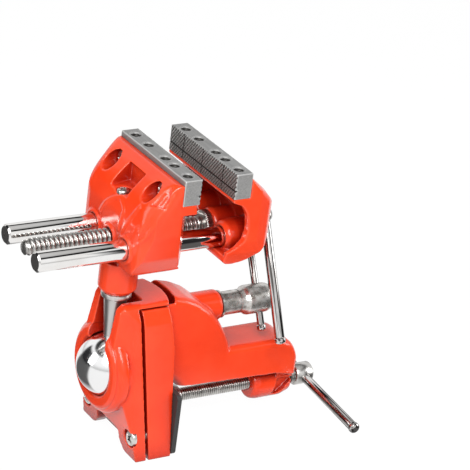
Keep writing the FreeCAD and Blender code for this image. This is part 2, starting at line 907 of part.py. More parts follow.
def make_fixed_jaw():
    plate_back = size.fixed_plate_face - size.plate_thickness
    w = size.jaw_half_width
    top = size.plate_top - size.casting_drop
    profile = slab(
        "fixed_profile",
        "XZ",
        [
            (plate_back, top),
            (plate_back - 4, top),
            (plate_back - 9, size.plate_top - 6),
            (plate_back - 15, size.plate_top - 12),
            (size.fixed_back + 3, size.rod_z + 30),
            (size.fixed_back, size.rod_z + 18),
            (size.fixed_back, size.jaw_floor + 8),
            (size.fixed_back + 6, size.jaw_floor),
            (size.fixed_front - 2, size.jaw_floor),
            (size.fixed_front, size.jaw_floor + 2),
            (size.fixed_front, size.jaw_floor + 5.5),
            (size.fixed_front - 4, size.jaw_floor + 8.5),
            (size.fixed_front, size.jaw_floor + 12),
            (size.fixed_front, size.plate_bottom - 7),
            (size.fixed_front - 1.5, size.plate_bottom),
            (plate_back, size.plate_bottom),
        ],
        -w,
        w,
        rounds=[
            (2, [(plate_back - 4, top)]),
            (18, [(plate_back - 9, size.plate_top - 6), (plate_back - 15, size.plate_top - 12),
                  (size.fixed_back + 3, size.rod_z + 30), (size.fixed_back, size.rod_z + 18)]),
            (5, [(size.fixed_back, size.jaw_floor + 8), (size.fixed_back + 6, size.jaw_floor)]),
            (2, [(size.fixed_front - 4, size.jaw_floor + 8.5)]),
        ],
    )
    outline = slab(
        "fixed_outline",
        "YZ",
        [
            (-w, size.plate_top + 1),
            (-w, size.rod_z + 14),
            (-w + 4, size.rod_z - 2),
            (-size.rod_half_pitch - 8, size.rod_z - 13),
            (-size.rod_half_pitch + 2, size.jaw_floor - 0.5),
            (size.rod_half_pitch - 2, size.jaw_floor - 0.5),
            (size.rod_half_pitch + 8, size.rod_z - 13),
            (w - 4, size.rod_z - 2),
            (w, size.rod_z + 14),
            (w, size.plate_top + 1),
        ],
        size.fixed_back - 5,
        size.fixed_front + 5,
        rounds=[
            (20, [(-w, size.rod_z + 14), (w, size.rod_z + 14)]),
            (12, [(-w + 4, size.rod_z - 2), (w - 4, size.rod_z - 2)]),
            (5, [(-size.rod_half_pitch - 8, size.rod_z - 13),
                 (size.rod_half_pitch + 8, size.rod_z - 13)]),
        ],
    )
    core = common("fixed_core", profile, outline)
    low, high = size.jaw_floor - 5, size.plate_bottom - 6
    back, front, side = size.fixed_back - 1, size.fixed_front + 1, -size.rod_half_pitch - 5
    plan = slab(
        "fixed_plan",
        "XY",
        [
            (back, 16 - w),
            (back + 2, 5.5 - w),
            (back + 9, -w - 1),
            (plate_back, -w - 1),
            (front, side),
            (front, -side),
            (plate_back, w + 1),
            (back + 9, w + 1),
            (back + 2, w - 5.5),
            (back, w - 16),
        ],
        low,
        high,
        rounds=[(6, [(plate_back, -w - 1), (plate_back, w + 1)]),
                (8, [(back + 2, 5.5 - w), (back + 2, w - 5.5)])],
    )
    upper = slab(
        "fixed_upper",
        "XY",
        [
            (back, 16 - w),
            (back + 2, 5.5 - w),
            (back + 9, -w - 1),
            (front, -w - 1),
            (front, w + 1),
            (back + 9, w + 1),
            (back + 2, w - 5.5),
            (back, w - 16),
        ],
        high,
        size.plate_top + 1,
        rounds=[(8, [(back + 2, 5.5 - w), (back + 2, w - 5.5)])],
    )
    envelope = fuse("fixed_envelope", plan, upper)
    body = common("fixed_body", core, envelope)
    neck_boss = turned(
        "fixed_neck_boss",
        [
            (0, 0),
            (size.neck_boss_radius - 2.5, 0),
            (size.neck_boss_radius, 3),
            (size.neck_boss_radius, size.jaw_floor + 3 - size.neck_boss_bottom),
            (0, size.jaw_floor + 3 - size.neck_boss_bottom),
        ],
        (size.ball_x, 0, size.neck_boss_bottom),
    )
    rims = [
        rod(f"fixed_rim{i}", radius, size.fixed_back - 1.2, size.fixed_back + 8, "X",
            (0, y, size.rod_z))
        for i, (y, radius) in enumerate(
            (
                (-size.rod_half_pitch, size.rod_radius + 2.2),
                (0, size.lead_radius + 2.2),
                (size.rod_half_pitch, size.rod_radius + 2.2),
            )
        )
    ]
    solid = fuse("fixed_solid", body, neck_boss, *rims)
    cuts = [
        rod("fixed_lead_bore", size.lead_radius + size.running_gap, size.fixed_back - 10,
            size.fixed_front + 5, "X", (0, 0, size.rod_z)),
        rod("fixed_stud_bore", size.stud_radius + size.running_gap,
            size.neck_boss_bottom - 1, size.ball_z + size.stud_end + 0.3, "Z",
            (size.ball_x, 0, 0)),
    ]
    seat = plate_back - 4.6
    for i, side in enumerate((-1, 1)):
        cuts.append(
            rod(f"fixed_rod_bore{i}", size.rod_radius + size.running_gap,
                size.fixed_back - 10, size.fixed_front + 5, "X",
                (0, side * size.rod_half_pitch, size.rod_z))
        )
        at = (0, side * size.plate_screw_y, size.plate_screw_z)
        cuts.append(
            rod(f"fixed_screw_recess{i}", size.plate_screw_head_radius + 1,
                size.fixed_back - 5, seat, "X", at)
        )
        cuts.append(
            rod(f"fixed_screw_bore{i}", size.plate_screw_radius + size.running_gap,
                seat - 1, plate_back + 5, "X", at)
        )
    reach, depth = size.pocket_half_width, size.pocket_depth_x
    cuts.append(
        slab(
            "fixed_pocket",
            "XZ",
            [(size.fixed_back - 10, size.pocket_bottom - 3), (depth, size.pocket_bottom),
             (depth, size.pocket_top), (size.fixed_back - 10, size.pocket_top)],
            -reach,
            reach,
            rounds=[(1.5, [(depth, size.pocket_bottom), (depth, size.pocket_top)])],
        )
    )
    for name, side in (("near", -1), ("far", 1)):
        bevel = block(f"fixed_bevel_{name}", (0, -60, 0), (60, 60, 60))
        outward = Vector(-0.75, side * 0.88, 0.66)
        bevel.Placement = Placement(
            Vector(plate_back.value - 10.4, side * w.value, size.plate_top.value - 15.9),
            Rotation(Vector(0, 0, 1), outward).multiply(Rotation(Vector(0, 0, 1), 45)),
        )
        cuts.append(bevel)
    head_hole = size.jaw_screw_head_radius + 1.3
    cuts.append(
        turned(
            "fixed_jaw_screw_hole",
            [(0, -12), (size.plate_screw_radius + size.running_gap, -12),
             (size.plate_screw_radius + size.running_gap, 0), (head_hole, 0),
             (head_hole, 4), (0, 4)],
            jaw_screw_place,
        )
    )
    return cut("fixed_jaw_solid", solid, *cuts)


def make_jaw_screw():
    """The upright screw in the floor of the fixed jaw's pocket."""
    head = size.jaw_screw_head_radius
    return turned(
        "jaw_screw",
        [
            (0, -11.5),
            (size.plate_screw_radius, -11.5),
            (size.plate_screw_radius, 0),
            (head, 0),
            (head, size.plate_screw_head_height - 1),
            (head - 1.2, size.plate_screw_head_height),
            (0, size.plate_screw_head_height),
        ],
        jaw_screw_place,
    )


# Moving jaw -----------------------------------------------------------------


def make_movable_jaw():
    face = size.fixed_plate_face + size.jaw_gap
    plate_back = face + size.plate_thickness
    w = size.jaw_half_width
    inner, back, deep = size.moving_inner, size.moving_back, size.moving_cavity_back
    profile = slab(
        "moving_profile",
        "XZ",
        [
            (face + 0.2, size.plate_bottom),
            (face + 0.2, size.plate_bottom - 2),
            (face + 1, size.jaw_floor + 9),
            (face + 3.5, size.jaw_floor + 7),
            (face + 8, size.jaw_floor + 6.5),
            (face + 16, size.jaw_floor + 8),
            (back - 13, size.rod_z - 6),
            (back - 7.5, size.rod_z - 2),
            (back - 2.5, size.rod_z + 3.5),
            (back - 0.5, size.rod_z + 9),
            (back, size.rod_z + 14),
            (back - 1.5, size.rod_z + 20),
            (back - 5.5, size.rod_z + 26),
            (back - 10.5, size.rod_z + 32),
            (back - 16.5, size.rod_z + 37),
            (plate_back + 4, size.plate_top - 6.5),
            (plate_back, size.plate_top - size.casting_drop),
            (plate_back, size.plate_bottom),
        ],
        -w,
        w,
        rounds=[
            (11, [(face + 16, size.jaw_floor + 8), (back - 13, size.rod_z - 6),
                  (back - 7.5, size.rod_z - 2), (back - 2.5, size.rod_z + 3.5),
                  (back - 0.5, size.rod_z + 9), (back, size.rod_z + 14),
                  (back - 1.5, size.rod_z + 20), (back - 5.5, size.rod_z + 26),
                  (back - 10.5, size.rod_z + 32), (back - 16.5, size.rod_z + 37)]),
            (2, [(face + 1, size.jaw_floor + 9), (face + 3.5, size.jaw_floor + 7)]),
        ],
    )
    plan = slab(
        "moving_plan",
        "XY",
        [
            (face - 1, -w - 1),
            (inner + 10.5, -w),
            (back - 9, 3.5 - w),
            (back - 4, 9 - w),
            (back + 1, -15),
            (back + 1, 15),
            (back - 4, w - 9),
            (back - 9, w - 3.5),
            (inner + 10.5, w),
            (face - 1, w + 1),
        ],
        size.jaw_floor - 5,
        size.plate_top + 5,
        rounds=[(6, [(back - 9, 3.5 - w), (back - 4, 9 - w),
                     (back - 4, w - 9), (back - 9, w - 3.5)])],
    )
    outline = slab(
        "moving_outline",
        "YZ",
        [
            (-w - 1, size.plate_top + 1),
            (-w - 1, size.rod_z + 8),
            (-w + 2, size.rod_z - 4),
            (-w + 6, size.jaw_floor + 5),
            (w - 6, size.jaw_floor + 5),
            (w - 2, size.rod_z - 4),
            (w + 1, size.rod_z + 8),
            (w + 1, size.plate_top + 1),
        ],
        face - 5,
        back + 5,
        rounds=[(8, [(-w + 2, size.rod_z - 4), (w - 2, size.rod_z - 4)])],
    )
    body = common("moving_body", common("moving_core", profile, plan), outline)
    side_mouth = slab(
        "moving_side_mouth",
        "XZ",
        [
            (face - 5, size.plate_bottom - 2.2),
            (face + 0.3, size.plate_bottom - 2.2),
            (face + 7, size.rod_z + 27),
            (inner + 2.5, size.rod_z + 21),
            (inner + 4, size.rod_z + 12),
            (inner + 2.5, size.rod_z + 4.5),
            (inner - 2, size.rod_z),
            (face + 1.5, size.rod_z - 2.5),
            (face - 5, size.rod_z - 2.5),
        ],
        -w - 5,
        w + 5,
        rounds=[(6, [(face + 7, size.rod_z + 27), (inner + 2.5, size.rod_z + 21),
                     (inner + 4, size.rod_z + 12), (inner + 2.5, size.rod_z + 4.5),
                     (inner - 2, size.rod_z)])],
    )
    cavity = slab(
        "moving_cavity",
        "XZ",
        [
            (face - 5, size.plate_bottom - 2.5),
            (inner, size.plate_bottom - 5),
            (deep - 4, size.rod_z + 23),
            (deep, size.rod_z + 15),
            (deep, size.rod_z + 5),
            (deep - 6, size.rod_z - 3.5),
            (inner - 2, size.rod_z - 5.5),
            (face - 5, size.rod_z - 5.5),
        ],
        size.moving_rim - w,
        w - size.moving_rim,
        rounds=[(6, [(deep - 4, size.rod_z + 23), (deep, size.rod_z + 15),
                     (deep, size.rod_z + 5), (deep - 6, size.rod_z - 3.5)])],
    )
    shell = cut("moving_shell", body, side_mouth, cavity)
    bosses = [
        turned(
            "moving_lead_boss",
            [(0, inner), (size.lead_radius + 3.2, inner), (size.lead_radius + 4.2, inner + 2),
             (size.lead_radius + 4.2, deep + 2), (0, deep + 2)],
            (0, 0, size.rod_z),
            facing("X"),
        )
    ]
    cuts = [
        rod("moving_lead_bore", size.lead_radius + size.running_gap,
            face, back + 5, "X", (0, 0, size.rod_z)),
        rod("moving_collar_room", size.lead_collar_radius + 0.4,
            face - 5, inner, "X", (0, 0, size.rod_z)),
    ]
    for i, side in enumerate((-1, 1)):
        at = (0, side * size.rod_half_pitch, size.rod_z)
        bosses.append(
            turned(
                f"moving_rod_boss{i}",
                [(0, inner - 2.5), (size.rod_radius + 1.6, inner - 2.5),
                 (size.rod_radius + 3.2, inner - 0.5), (size.rod_radius + 4.2, inner + 5),
                 (size.rod_radius + 4.2, deep + 2), (0, deep + 2)],
                at,
                facing("X"),
            )
        )
        cuts.append(
            rod(f"moving_rod_bore{i}", size.rod_radius + size.running_gap,
                inner - 8, size.rod_right + 0.3, "X", at)
        )
        at = (0, side * size.plate_screw_y, size.plate_screw_z)
        cuts.append(
            rod(f"moving_screw_recess{i}", size.plate_screw_head_radius + 0.6,
                plate_back + 4, back + 5, "X", at)
        )
        cuts.append(
            rod(f"moving_screw_bore{i}", size.plate_screw_radius + size.running_gap,
                plate_back - 1, plate_back + 5, "X", at)
        )
    solid = fuse("moving_solid", shell, *bosses)
    return cut("movable_jaw_solid", solid, *cuts)


def make_bar(name, radius, up, down, cap_length, at, turn):
    """A sliding bar through a hub: up and down are its reaches with the caps on."""
    return turned(
        name,
        [
            (0, cap_length - down),
            (radius, cap_length - down),
            (radius, up - cap_length),
            (0, up - cap_length),
        ],
        at,
        turn,
    )


def make_cap(name, radius, level, length, sign, at, turn):
    """An end cap of a sliding bar, rounded on its outer end."""
    near, far = level, level + sign * length
    rim = far - 1.2 * sign
    return turned(
        name,
        [(0, near), (radius - 0.3, near), (radius, near + 0.6 * sign), (radius, rim),
         (radius - 1.2, far), (0, far)],
        at,
        turn,
    )


def build():
    clamp_hub_start = size.arm_reach + size.clamp_hub_clear
    clamp_hub_end = clamp_hub_start + size.clamp_hub_length
    clamp_bar_x = clamp_hub_start + size.clamp_bar_inset
    node("clamp_body", make_clamp_body())
    node("ball_cover", make_ball_cover())
    node("rubber_pad", make_rubber_pad())
    for label, side in (("front", -1), ("back", 1)):
        node(
            f"cover_screw_{label}",
            make_screw(
                f"foot_screw_{label}",
                size.cover_screw_radius,
                size.cover_screw_head_radius,
                size.cover_screw_head_height,
                size.cover_screw_seat,
                size.cover_screw_end,
                side * size.cover_screw_y,
                size.cover_screw_z,
            ),
        )
    washer_start = size.lock_boss_end + 0.1
    node(
        "lock_washer",
        turned(
            "washer_ring",
            [
                (size.lock_radius + 0.3, 0),
                (size.lock_washer_radius, 0),
                (size.lock_washer_radius, size.lock_washer_thickness),
                (size.lock_radius + 0.3, size.lock_washer_thickness),
            ],
            (washer_start, 0, size.lock_z),
            facing("X"),
        ),
    )
    node("ball_stud", make_ball_stud())

    node("fixed_jaw", make_fixed_jaw())
    node("jaw_screw", make_jaw_screw())
    fixed_back = size.fixed_plate_face - size.plate_thickness
    moving_face = size.fixed_plate_face + size.jaw_gap
    moving_back = moving_face + size.plate_thickness
    node("fixed_jaw_plate", make_flat_plate("fixed_plate", size.fixed_plate_face, -1))
    node("movable_jaw", make_movable_jaw())
    node("movable_jaw_plate", make_flat_plate("moving_plate", moving_face, 1))
    for label, side in (("front", -1), ("back", 1)):
        y = side * size.plate_screw_y
        node(
            f"fixed_plate_screw_{label}",
            make_screw(
                f"fixed_screw_{label}",
                size.plate_screw_radius,
                size.plate_screw_head_radius,
                size.plate_screw_head_height,
                fixed_back - 4.6,
                fixed_back + 4.5,
                y,
                size.plate_screw_z,
            ),
        )
        node(
            f"movable_plate_screw_{label}",
            make_screw(
                f"moving_screw_{label}",
                size.plate_screw_radius,
                size.plate_screw_head_radius,
                size.plate_screw_head_height,
                moving_back + 4,
                moving_back - 4.5,
                y,
                size.plate_screw_z,
                -1,
            ),
        )
        node(
            f"guide_rod_{label}",
            turned(
                f"rod_{label}",
                [
                    (0, size.rod_left),
                    (size.rod_radius - 0.8, size.rod_left),
                    (size.rod_radius, size.rod_left + 0.8),
                    (size.rod_radius, size.rod_right),
                    (0, size.rod_right),
                ],
                (0, side * size.rod_half_pitch, size.rod_z),
                facing("X"),
            ),
        )
    node(
        "thrust_collar",
        turned(
            "collar_ring",
            [
                (size.lead_radius + size.running_gap, 0),
                (size.lead_collar_radius, 0),
                (size.lead_collar_radius, size.lead_collar_length),
                (size.lead_radius + size.running_gap, size.lead_collar_length),
            ],
            (size.moving_inner - size.lead_collar_length, 0, size.rod_z),
            facing("X"),
        ),
    )
    node(
        "lead_screw",
        turned(
            "lead_spindle",
            [
                (0, size.lead_left),
                (size.lead_radius - 0.8, size.lead_left),
                (size.lead_radius, size.lead_left + 0.8),
                (size.lead_radius, size.lead_hub_start),
                (size.lead_hub_radius + 1.2, size.lead_hub_start),
                (size.lead_hub_radius + 1.2, size.lead_hub_start + 3),
                (size.lead_hub_radius, size.lead_hub_start + 3.6),
                (size.lead_hub_radius, size.lead_hub_end - 4),
                (size.lead_hub_radius - 0.8, size.lead_hub_end - 1.8),
                (size.lead_hub_radius - 2.4, size.lead_hub_end - 0.4),
                (size.lead_hub_radius - 4, size.lead_hub_end),
                (0, size.lead_hub_end),
            ],
            (0, 0, size.rod_z),
            facing("X", 90 - SIZES["lead_bar_lean"]),
            holes=[(size.lead_bar_x, size.lead_bar_radius + size.running_gap)],
        ),
    )
    bars = (
        (
            "lead_bar",
            size.lead_bar_radius,
            size.lead_bar_up,
            size.lead_bar_down,
            size.bar_cap_length,
            size.bar_cap_radius,
            (size.lead_bar_x, 0, size.rod_z),
            leaning(SIZES["lead_bar_lean"]),
            ("top", "bottom"),
        ),
        (
            "clamp_bar",
            size.clamp_bar_radius,
            size.clamp_bar_reach,
            size.clamp_bar_back,
            size.bar_cap_length,
            size.bar_cap_radius,
            (clamp_bar_x, 0, size.clamp_z),
            leaning(-SIZES["clamp_bar_lean"]),
            ("front", "back"),
        ),
        (
            "lock_bar",
            size.lock_bar_radius,
            size.lock_bar_up,
            size.lock_bar_down,
            size.bar_cap_length,
            size.lock_bar_cap_radius,
            (size.lock_bar_x, 0, size.lock_z),
            leaning(SIZES["lock_bar_lean"]),
            ("top", "bottom"),
        ),
    )
    for name, radius, up, down, cap, cap_radius, at, turn, ends in bars:
        node(name, make_bar(name + "_core", radius, up, down, cap, at, turn))
        node(
            f"{name}_cap_{ends[0]}",
            make_cap(f"{name}_{ends[0]}_end", cap_radius, up - cap, cap, 1, at, turn),
        )
        node(
            f"{name}_cap_{ends[1]}",
            make_cap(f"{name}_{ends[1]}_end", cap_radius, cap - down, cap, -1, at, turn),
        )
    node(
        "lock_screw",
        turned(
            "lock_spindle",
            [
                (0, size.lock_tip),
                (size.lock_radius, size.lock_tip),
                (size.lock_radius, washer_start + size.lock_washer_thickness + 0.1),
                (size.lock_collar_radius, washer_start + size.lock_washer_thickness + 0.1),
                (size.lock_collar_radius, size.lock_hub_start - 2.5),
                (size.lock_hub_radius, size.lock_hub_start),
                (size.lock_hub_radius, size.lock_hub_end - 2.5),
                (size.lock_hub_radius - 2.5, size.lock_hub_end),
                (0, size.lock_hub_end),
            ],
            (0, 0, size.lock_z),
            facing("X", 90 - SIZES["lock_bar_lean"]),
            holes=[(size.lock_bar_x, size.lock_bar_radius + size.running_gap)],
        ),
    )
    foot_back = size.foot_face + size.foot_length
    node(
        "pressure_foot",
        turned(
            "foot_cup",
            [
                (0, size.foot_face),
                (size.foot_radius, size.foot_face),
                (size.foot_radius, size.foot_face + 3),
                (size.foot_radius - 2.5, foot_back),
                (size.clamp_radius - 1 + size.running_gap, foot_back),
                (size.clamp_radius - 1 + size.running_gap, size.foot_face + 3.7),
                (0, size.foot_face + 3.7),
            ],
            (0, 0, size.clamp_z),
            facing("X"),
        ),
    )
    node(
        "clamp_screw",
        turned(
            "clamp_spindle",
            [
                (0, size.foot_face + 4),
                (size.clamp_radius - 1, size.foot_face + 4),
                (size.clamp_radius - 1, foot_back + 0.3),
                (size.clamp_radius, foot_back + 0.3),
                (size.clamp_radius, size.arm_reach + size.clamp_neck_clear),
                (size.clamp_hub_radius, clamp_hub_start),
                (size.clamp_hub_radius, clamp_hub_end - 2),
                (size.clamp_hub_radius - 2, clamp_hub_end),
                (0, clamp_hub_end),
            ],
            (0, 0, size.clamp_z),
            facing("X", SIZES["clamp_bar_lean"] - 90),
            holes=[(clamp_bar_x, size.clamp_bar_radius + size.running_gap)],
        ),
    )


def make_flat_plate(name, face, toward):
    """A jaw plate: toward is the side of its back, along X from its gripping face."""
    back = face + toward * size.plate_thickness
    low, high = (face, back) if toward > 0 else (back, face)
    w = size.jaw_half_width
    groove_z = size.plate_bottom + 5.2
    blank = slab(
        name + "_blank",
        "XZ",
        [
            (back, size.plate_bottom),
            (back, size.plate_top),
            (face, size.plate_top),
            (face, groove_z + 1.6),
            (face + 1.6 * toward, groove_z),
            (face, groove_z - 1.6),
            (face, size.plate_bottom),
        ],
        -w,
        w,
    )
    middle = (low + high) / 2
    cuts = []
    pitch, top = size.peg_hole_pitch, size.plate_top
    for i, y in enumerate((-2 * pitch, -pitch, size.peg_hole_middle, pitch, 2 * pitch)):
        cuts.append(
            rod(f"{name}_peg_hole{i}", size.peg_hole_radius, top - size.peg_hole_depth,
                top + 1, "Z", (middle, y, 0))
        )
    for i, side in enumerate((-1, 1)):
        reach = (back - 5, back + 1) if toward > 0 else (back - 1, back + 5)
        cuts.append(
            rod(f"{name}_screw_bore{i}", size.plate_screw_radius + size.running_gap,
                *reach, "X", (0, side * size.plate_screw_y, size.plate_screw_z))
        )
    return cut(name + "_solid", blank, *cuts)


build()
doc.recompute()

failed = [o.Name for o in doc.Objects if "Invalid" in o.State or "Error" in o.State]
failed += [n for n, o in NODES.items() if o.Shape.isNull() or not o.Shape.isValid()]
if failed:
    raise RuntimeError("not built: " + ", ".join(failed))

os.makedirs("parts", exist_ok=True)
for name, piece in NODES.items():
    solids = len(piece.Shape.Solids)
    print(f"{name}: {solids} solid, {piece.Shape.Volume / 1000:.2f} cm3")
    piece.Shape.exportStep(f"parts/{name}.step")
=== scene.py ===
import json
import math

import bmesh
import bpy
from mathutils import Matrix, Vector
from mathutils.kdtree import KDTree


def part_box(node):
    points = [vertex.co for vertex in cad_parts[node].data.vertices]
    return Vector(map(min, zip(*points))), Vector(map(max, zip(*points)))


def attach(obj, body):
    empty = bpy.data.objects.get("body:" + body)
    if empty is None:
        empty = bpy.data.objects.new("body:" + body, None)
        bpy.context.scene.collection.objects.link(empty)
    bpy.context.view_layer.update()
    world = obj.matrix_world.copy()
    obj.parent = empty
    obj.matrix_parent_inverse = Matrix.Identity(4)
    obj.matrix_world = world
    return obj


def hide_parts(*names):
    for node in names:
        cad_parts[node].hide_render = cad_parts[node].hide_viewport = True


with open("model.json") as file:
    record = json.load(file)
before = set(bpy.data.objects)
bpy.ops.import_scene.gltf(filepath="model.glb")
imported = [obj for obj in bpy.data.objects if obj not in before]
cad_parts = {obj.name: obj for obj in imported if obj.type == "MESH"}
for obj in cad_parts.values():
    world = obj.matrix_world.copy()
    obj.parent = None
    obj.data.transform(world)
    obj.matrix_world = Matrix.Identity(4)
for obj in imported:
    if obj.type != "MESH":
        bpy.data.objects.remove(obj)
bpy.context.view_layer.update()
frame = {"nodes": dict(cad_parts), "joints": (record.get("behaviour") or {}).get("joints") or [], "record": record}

NODES = frame["nodes"]
MM = 0.001

# The slots of the record, which the finishes are kept under.
PAINT = "red_paint"
CHROME = "polished_chrome"
NICKEL = "nickel_plate"
RUBBER = "black_rubber"
ZINC = "bright_screws"
THREAD = "satin_steel"

# Places and sizes in mm. The hinges give the middle of the ball, and the point
# of each screw that its sliding bar runs through.
HINGES = {
    joint["name"]: [round(v / MM, 3) for v in joint["pos_m"]]
    for joint in frame["joints"] if joint["type"] == "hinge"
}
BALL = HINGES["ball_tilt"]
LEAD = HINGES["lead_spin"]
CLAMP = HINGES["clamp_spin"]
LOCK = HINGES["lock_turn"]
BALL_RADIUS = 19
ROD_SPREAD = 18.5
CAP_LENGTH = 4
PEG_HOLES = (-30, -15, -4.5, 15, 30)
PEG_HOLE_RADIUS = 2.95

# The pattern on the plates' fronts in mm, which the mesh and its material share.
KNURL_PITCH = 2.8
KNURL_SLOPE = 1.28
GROOVE_HEIGHT = 151.3
NOTCHES = (-22.5, 0.5, 22)

# Fineness in mm of the rebuilt solids and of the knurled fronts.
CASTING_VOXEL = 0.55
PLATE_VOXEL = 0.36
KNURL_STEP = 0.22


# Shader maths ---------------------------------------------------------------


class Wire:
    """A shader socket that can be used in arithmetic."""

    def __init__(self, nodes, socket):
        self.nodes, self.socket = nodes, socket

    def apply(self, operation, *values):
        node = self.nodes.add("ShaderNodeMath", {"operation": operation}, *values)
        return Wire(self.nodes, node.outputs[0])

    def __add__(self, other):
        return self.apply("ADD", self, other)

    def __radd__(self, other):
        return self.apply("ADD", other, self)

    def __sub__(self, other):
        return self.apply("SUBTRACT", self, other)

    def __rsub__(self, other):
        return self.apply("SUBTRACT", other, self)

    def __mul__(self, other):
        return self.apply("MULTIPLY", self, other)

    def __rmul__(self, other):
        return self.apply("MULTIPLY", other, self)

    def __truediv__(self, other):
        return self.apply("DIVIDE", self, other)

    def __pow__(self, other):
        return self.apply("POWER", self, other)

    def absolute(self):
        return self.apply("ABSOLUTE", self)

    def fraction(self):
        return self.apply("FRACT", self)

    def most(self, other):
        return self.apply("MAXIMUM", self, other)

    def limited(self):
        return self.apply("MINIMUM", self, 1).most(0)

    def step(self, low, high):
        """0 below low, 1 above high and a straight slope between."""
        return ((self - low) * (1 / (high - low))).limited()


class Nodes:
    """A node tree and the ways to add to it."""

    def __init__(self, tree):
        self.tree = tree

    def add(self, kind, settings, *values, **named):
        """One node: its settings first, then its sockets by position or by name."""
        node = self.tree.nodes.new(kind)
        for name, value in settings.items():
            if name == "stops":
                self.grade(node.color_ramp.elements, value)
            else:
                setattr(node, name, value)
        for key, value in [*enumerate(values), *named.items()]:
            self.feed(node.inputs[key], value)
        return node

    def grade(self, elements, stops):
        """Set a ramp's greys; stops lists (value, brightness)."""
        while len(elements) < len(stops):
            elements.new(0.5)
        for element, (value, grey) in zip(elements, stops):
            element.position, element.color = value, (grey, grey, grey, 1)

    def feed(self, socket, value):
        """Link a wire to a socket, or set the socket to a constant."""
        if isinstance(value, Wire):
            self.tree.links.new(value.socket, socket)
        else:
            socket.default_value = value

    def output(self, kind, name):
        """A named output of a node that needs no settings or inputs."""
        return Wire(self, self.add(kind, {}).outputs[name])

    def part_of(self, letter, vector):
        return Wire(self, self.add("ShaderNodeSeparateXYZ", {}, vector).outputs[letter])

    def mix(self, amount, first, second):
        """The first colour at 0 and the second at 1; each is a wire or (red, green, blue)."""
        node = self.add("ShaderNodeMix", {"data_type": "RGBA"}, amount)
        colour_inputs, colour_output = (6, 7), 2
        for key, value in zip(colour_inputs, (first, second)):
            self.feed(node.inputs[key], value if isinstance(value, Wire) else (*value, 1))
        return Wire(self, node.outputs[colour_output])


class Finish(Nodes):
    """A material and its nodes."""

    def __init__(self, name, **shader):
        self.material = bpy.data.materials.new(name)
        self.material.use_nodes = True
        super().__init__(self.material.node_tree)
        self.shader = self.tree.nodes["Principled BSDF"]
        for key, value in shader.items():
            socket = key.replace("_", " ").title().replace("Ior", "IOR")
            self.shader.inputs[socket].default_value = value
        self.place = self.output("ShaderNodeTexCoord", "Object")

    def noise(self, scale, detail=3, rough=0.55, at=None):
        node = self.add("ShaderNodeTexNoise", {}, Vector=at or self.place,
                        Scale=scale, Detail=detail, Roughness=rough)
        return Wire(self, node.outputs[0])

    def stretched(self, x, y, z):
        node = self.add("ShaderNodeVectorMath", {"operation": "MULTIPLY"}, self.place, (x, y, z))
        return Wire(self, node.outputs[0])

    def distance(self, point):
        node = self.add("ShaderNodeVectorMath", {"operation": "DISTANCE"}, self.place, point)
        return Wire(self, node.outputs["Value"])

    def wear(self):
        """1 on convex edges, 0 elsewhere; it lightens edges for wear and for painted highlights."""
        return self.output("ShaderNodeNewGeometry", "Pointiness").step(0.505, 0.56)

    def hollow(self):
        """1 in creases and corners, where shade is painted; 0 elsewhere."""
        return 1 - self.output("ShaderNodeNewGeometry", "Pointiness").step(0.44, 0.495)

    def shaded(self, reach):
        """1 in deep recesses, 0 in the open."""
        node = self.add("ShaderNodeAmbientOcclusion", {"samples": 6}, Distance=reach)
        return 1 - Wire(self, node.outputs["AO"])

    def bump(self, height, depth, strength):
        node = self.add("ShaderNodeBump", {}, Strength=strength, Distance=depth, Height=height)
        self.set(Normal=Wire(self, node.outputs[0]))

    def set(self, **named):
        for name, value in named.items():
            self.feed(self.shader.inputs[name.replace("_", " ")], value)


# Materials ------------------------------------------------------------------


def enamel():
    """Orange-red paint: cloudy, with painted shade in creases and recesses, and thin paint and a painted highlight
    on edges.
    """
    f = Finish("glossy_enamel", coat_weight=0.18, coat_roughness=0.04, specular_ior_level=0.35)
    cloud = f.noise(34, 4)
    speck = f.noise(900, 2)
    tone = f.mix(cloud.step(0.35, 0.65), (0.91, 0.050, 0.009), (0.975, 0.066, 0.016))
    tone = f.mix(speck.step(0.66, 0.8) * 0.12, tone, (0.72, 0.03, 0.008))
    # Painted shade: darker red in creases and corners, darkest in deep recesses.
    tone = f.mix(f.hollow() * 0.75, tone, (0.42, 0.008, 0.002))
    tone = f.mix(f.shaded(0.022).step(0.12, 0.68) * 0.92, tone, (0.25, 0.003, 0.001))
    # Lighter, pinker edges: thin paint and a painted highlight.
    tone = f.mix(f.wear() * 0.3, tone, (1.0, 0.15, 0.065))
    f.set(Base_Color=tone, Roughness=0.16 + f.noise(120, 3) * 0.12)
    f.bump(f.noise(260, 3) + f.noise(90, 2) * 1.5, 0.00012, 0.5)
    return f.material


def chrome():
    """Mirror plating with smears and faint lines along X, and painted shade in its creases."""
    f = Finish("mirror_chrome", specular_ior_level=0.6)
    smear = f.noise(60, 4)
    hairline = f.noise(1.0, 4, at=f.stretched(60, 1500, 1500))
    tone = f.mix(smear.step(0.4, 0.7), (0.80, 0.79, 0.775), (0.86, 0.86, 0.855))
    # Painted shade: darker in creases and corners.
    f.set(Metallic=1.0, Base_Color=f.mix(f.hollow() * 0.6, tone, (0.25, 0.22, 0.2)),
          Roughness=0.05 + smear.step(0.5, 0.8) * 0.05 + hairline * 0.05)
    f.bump(f.noise(500, 2), 0.00001, 0.4)
    return f.material


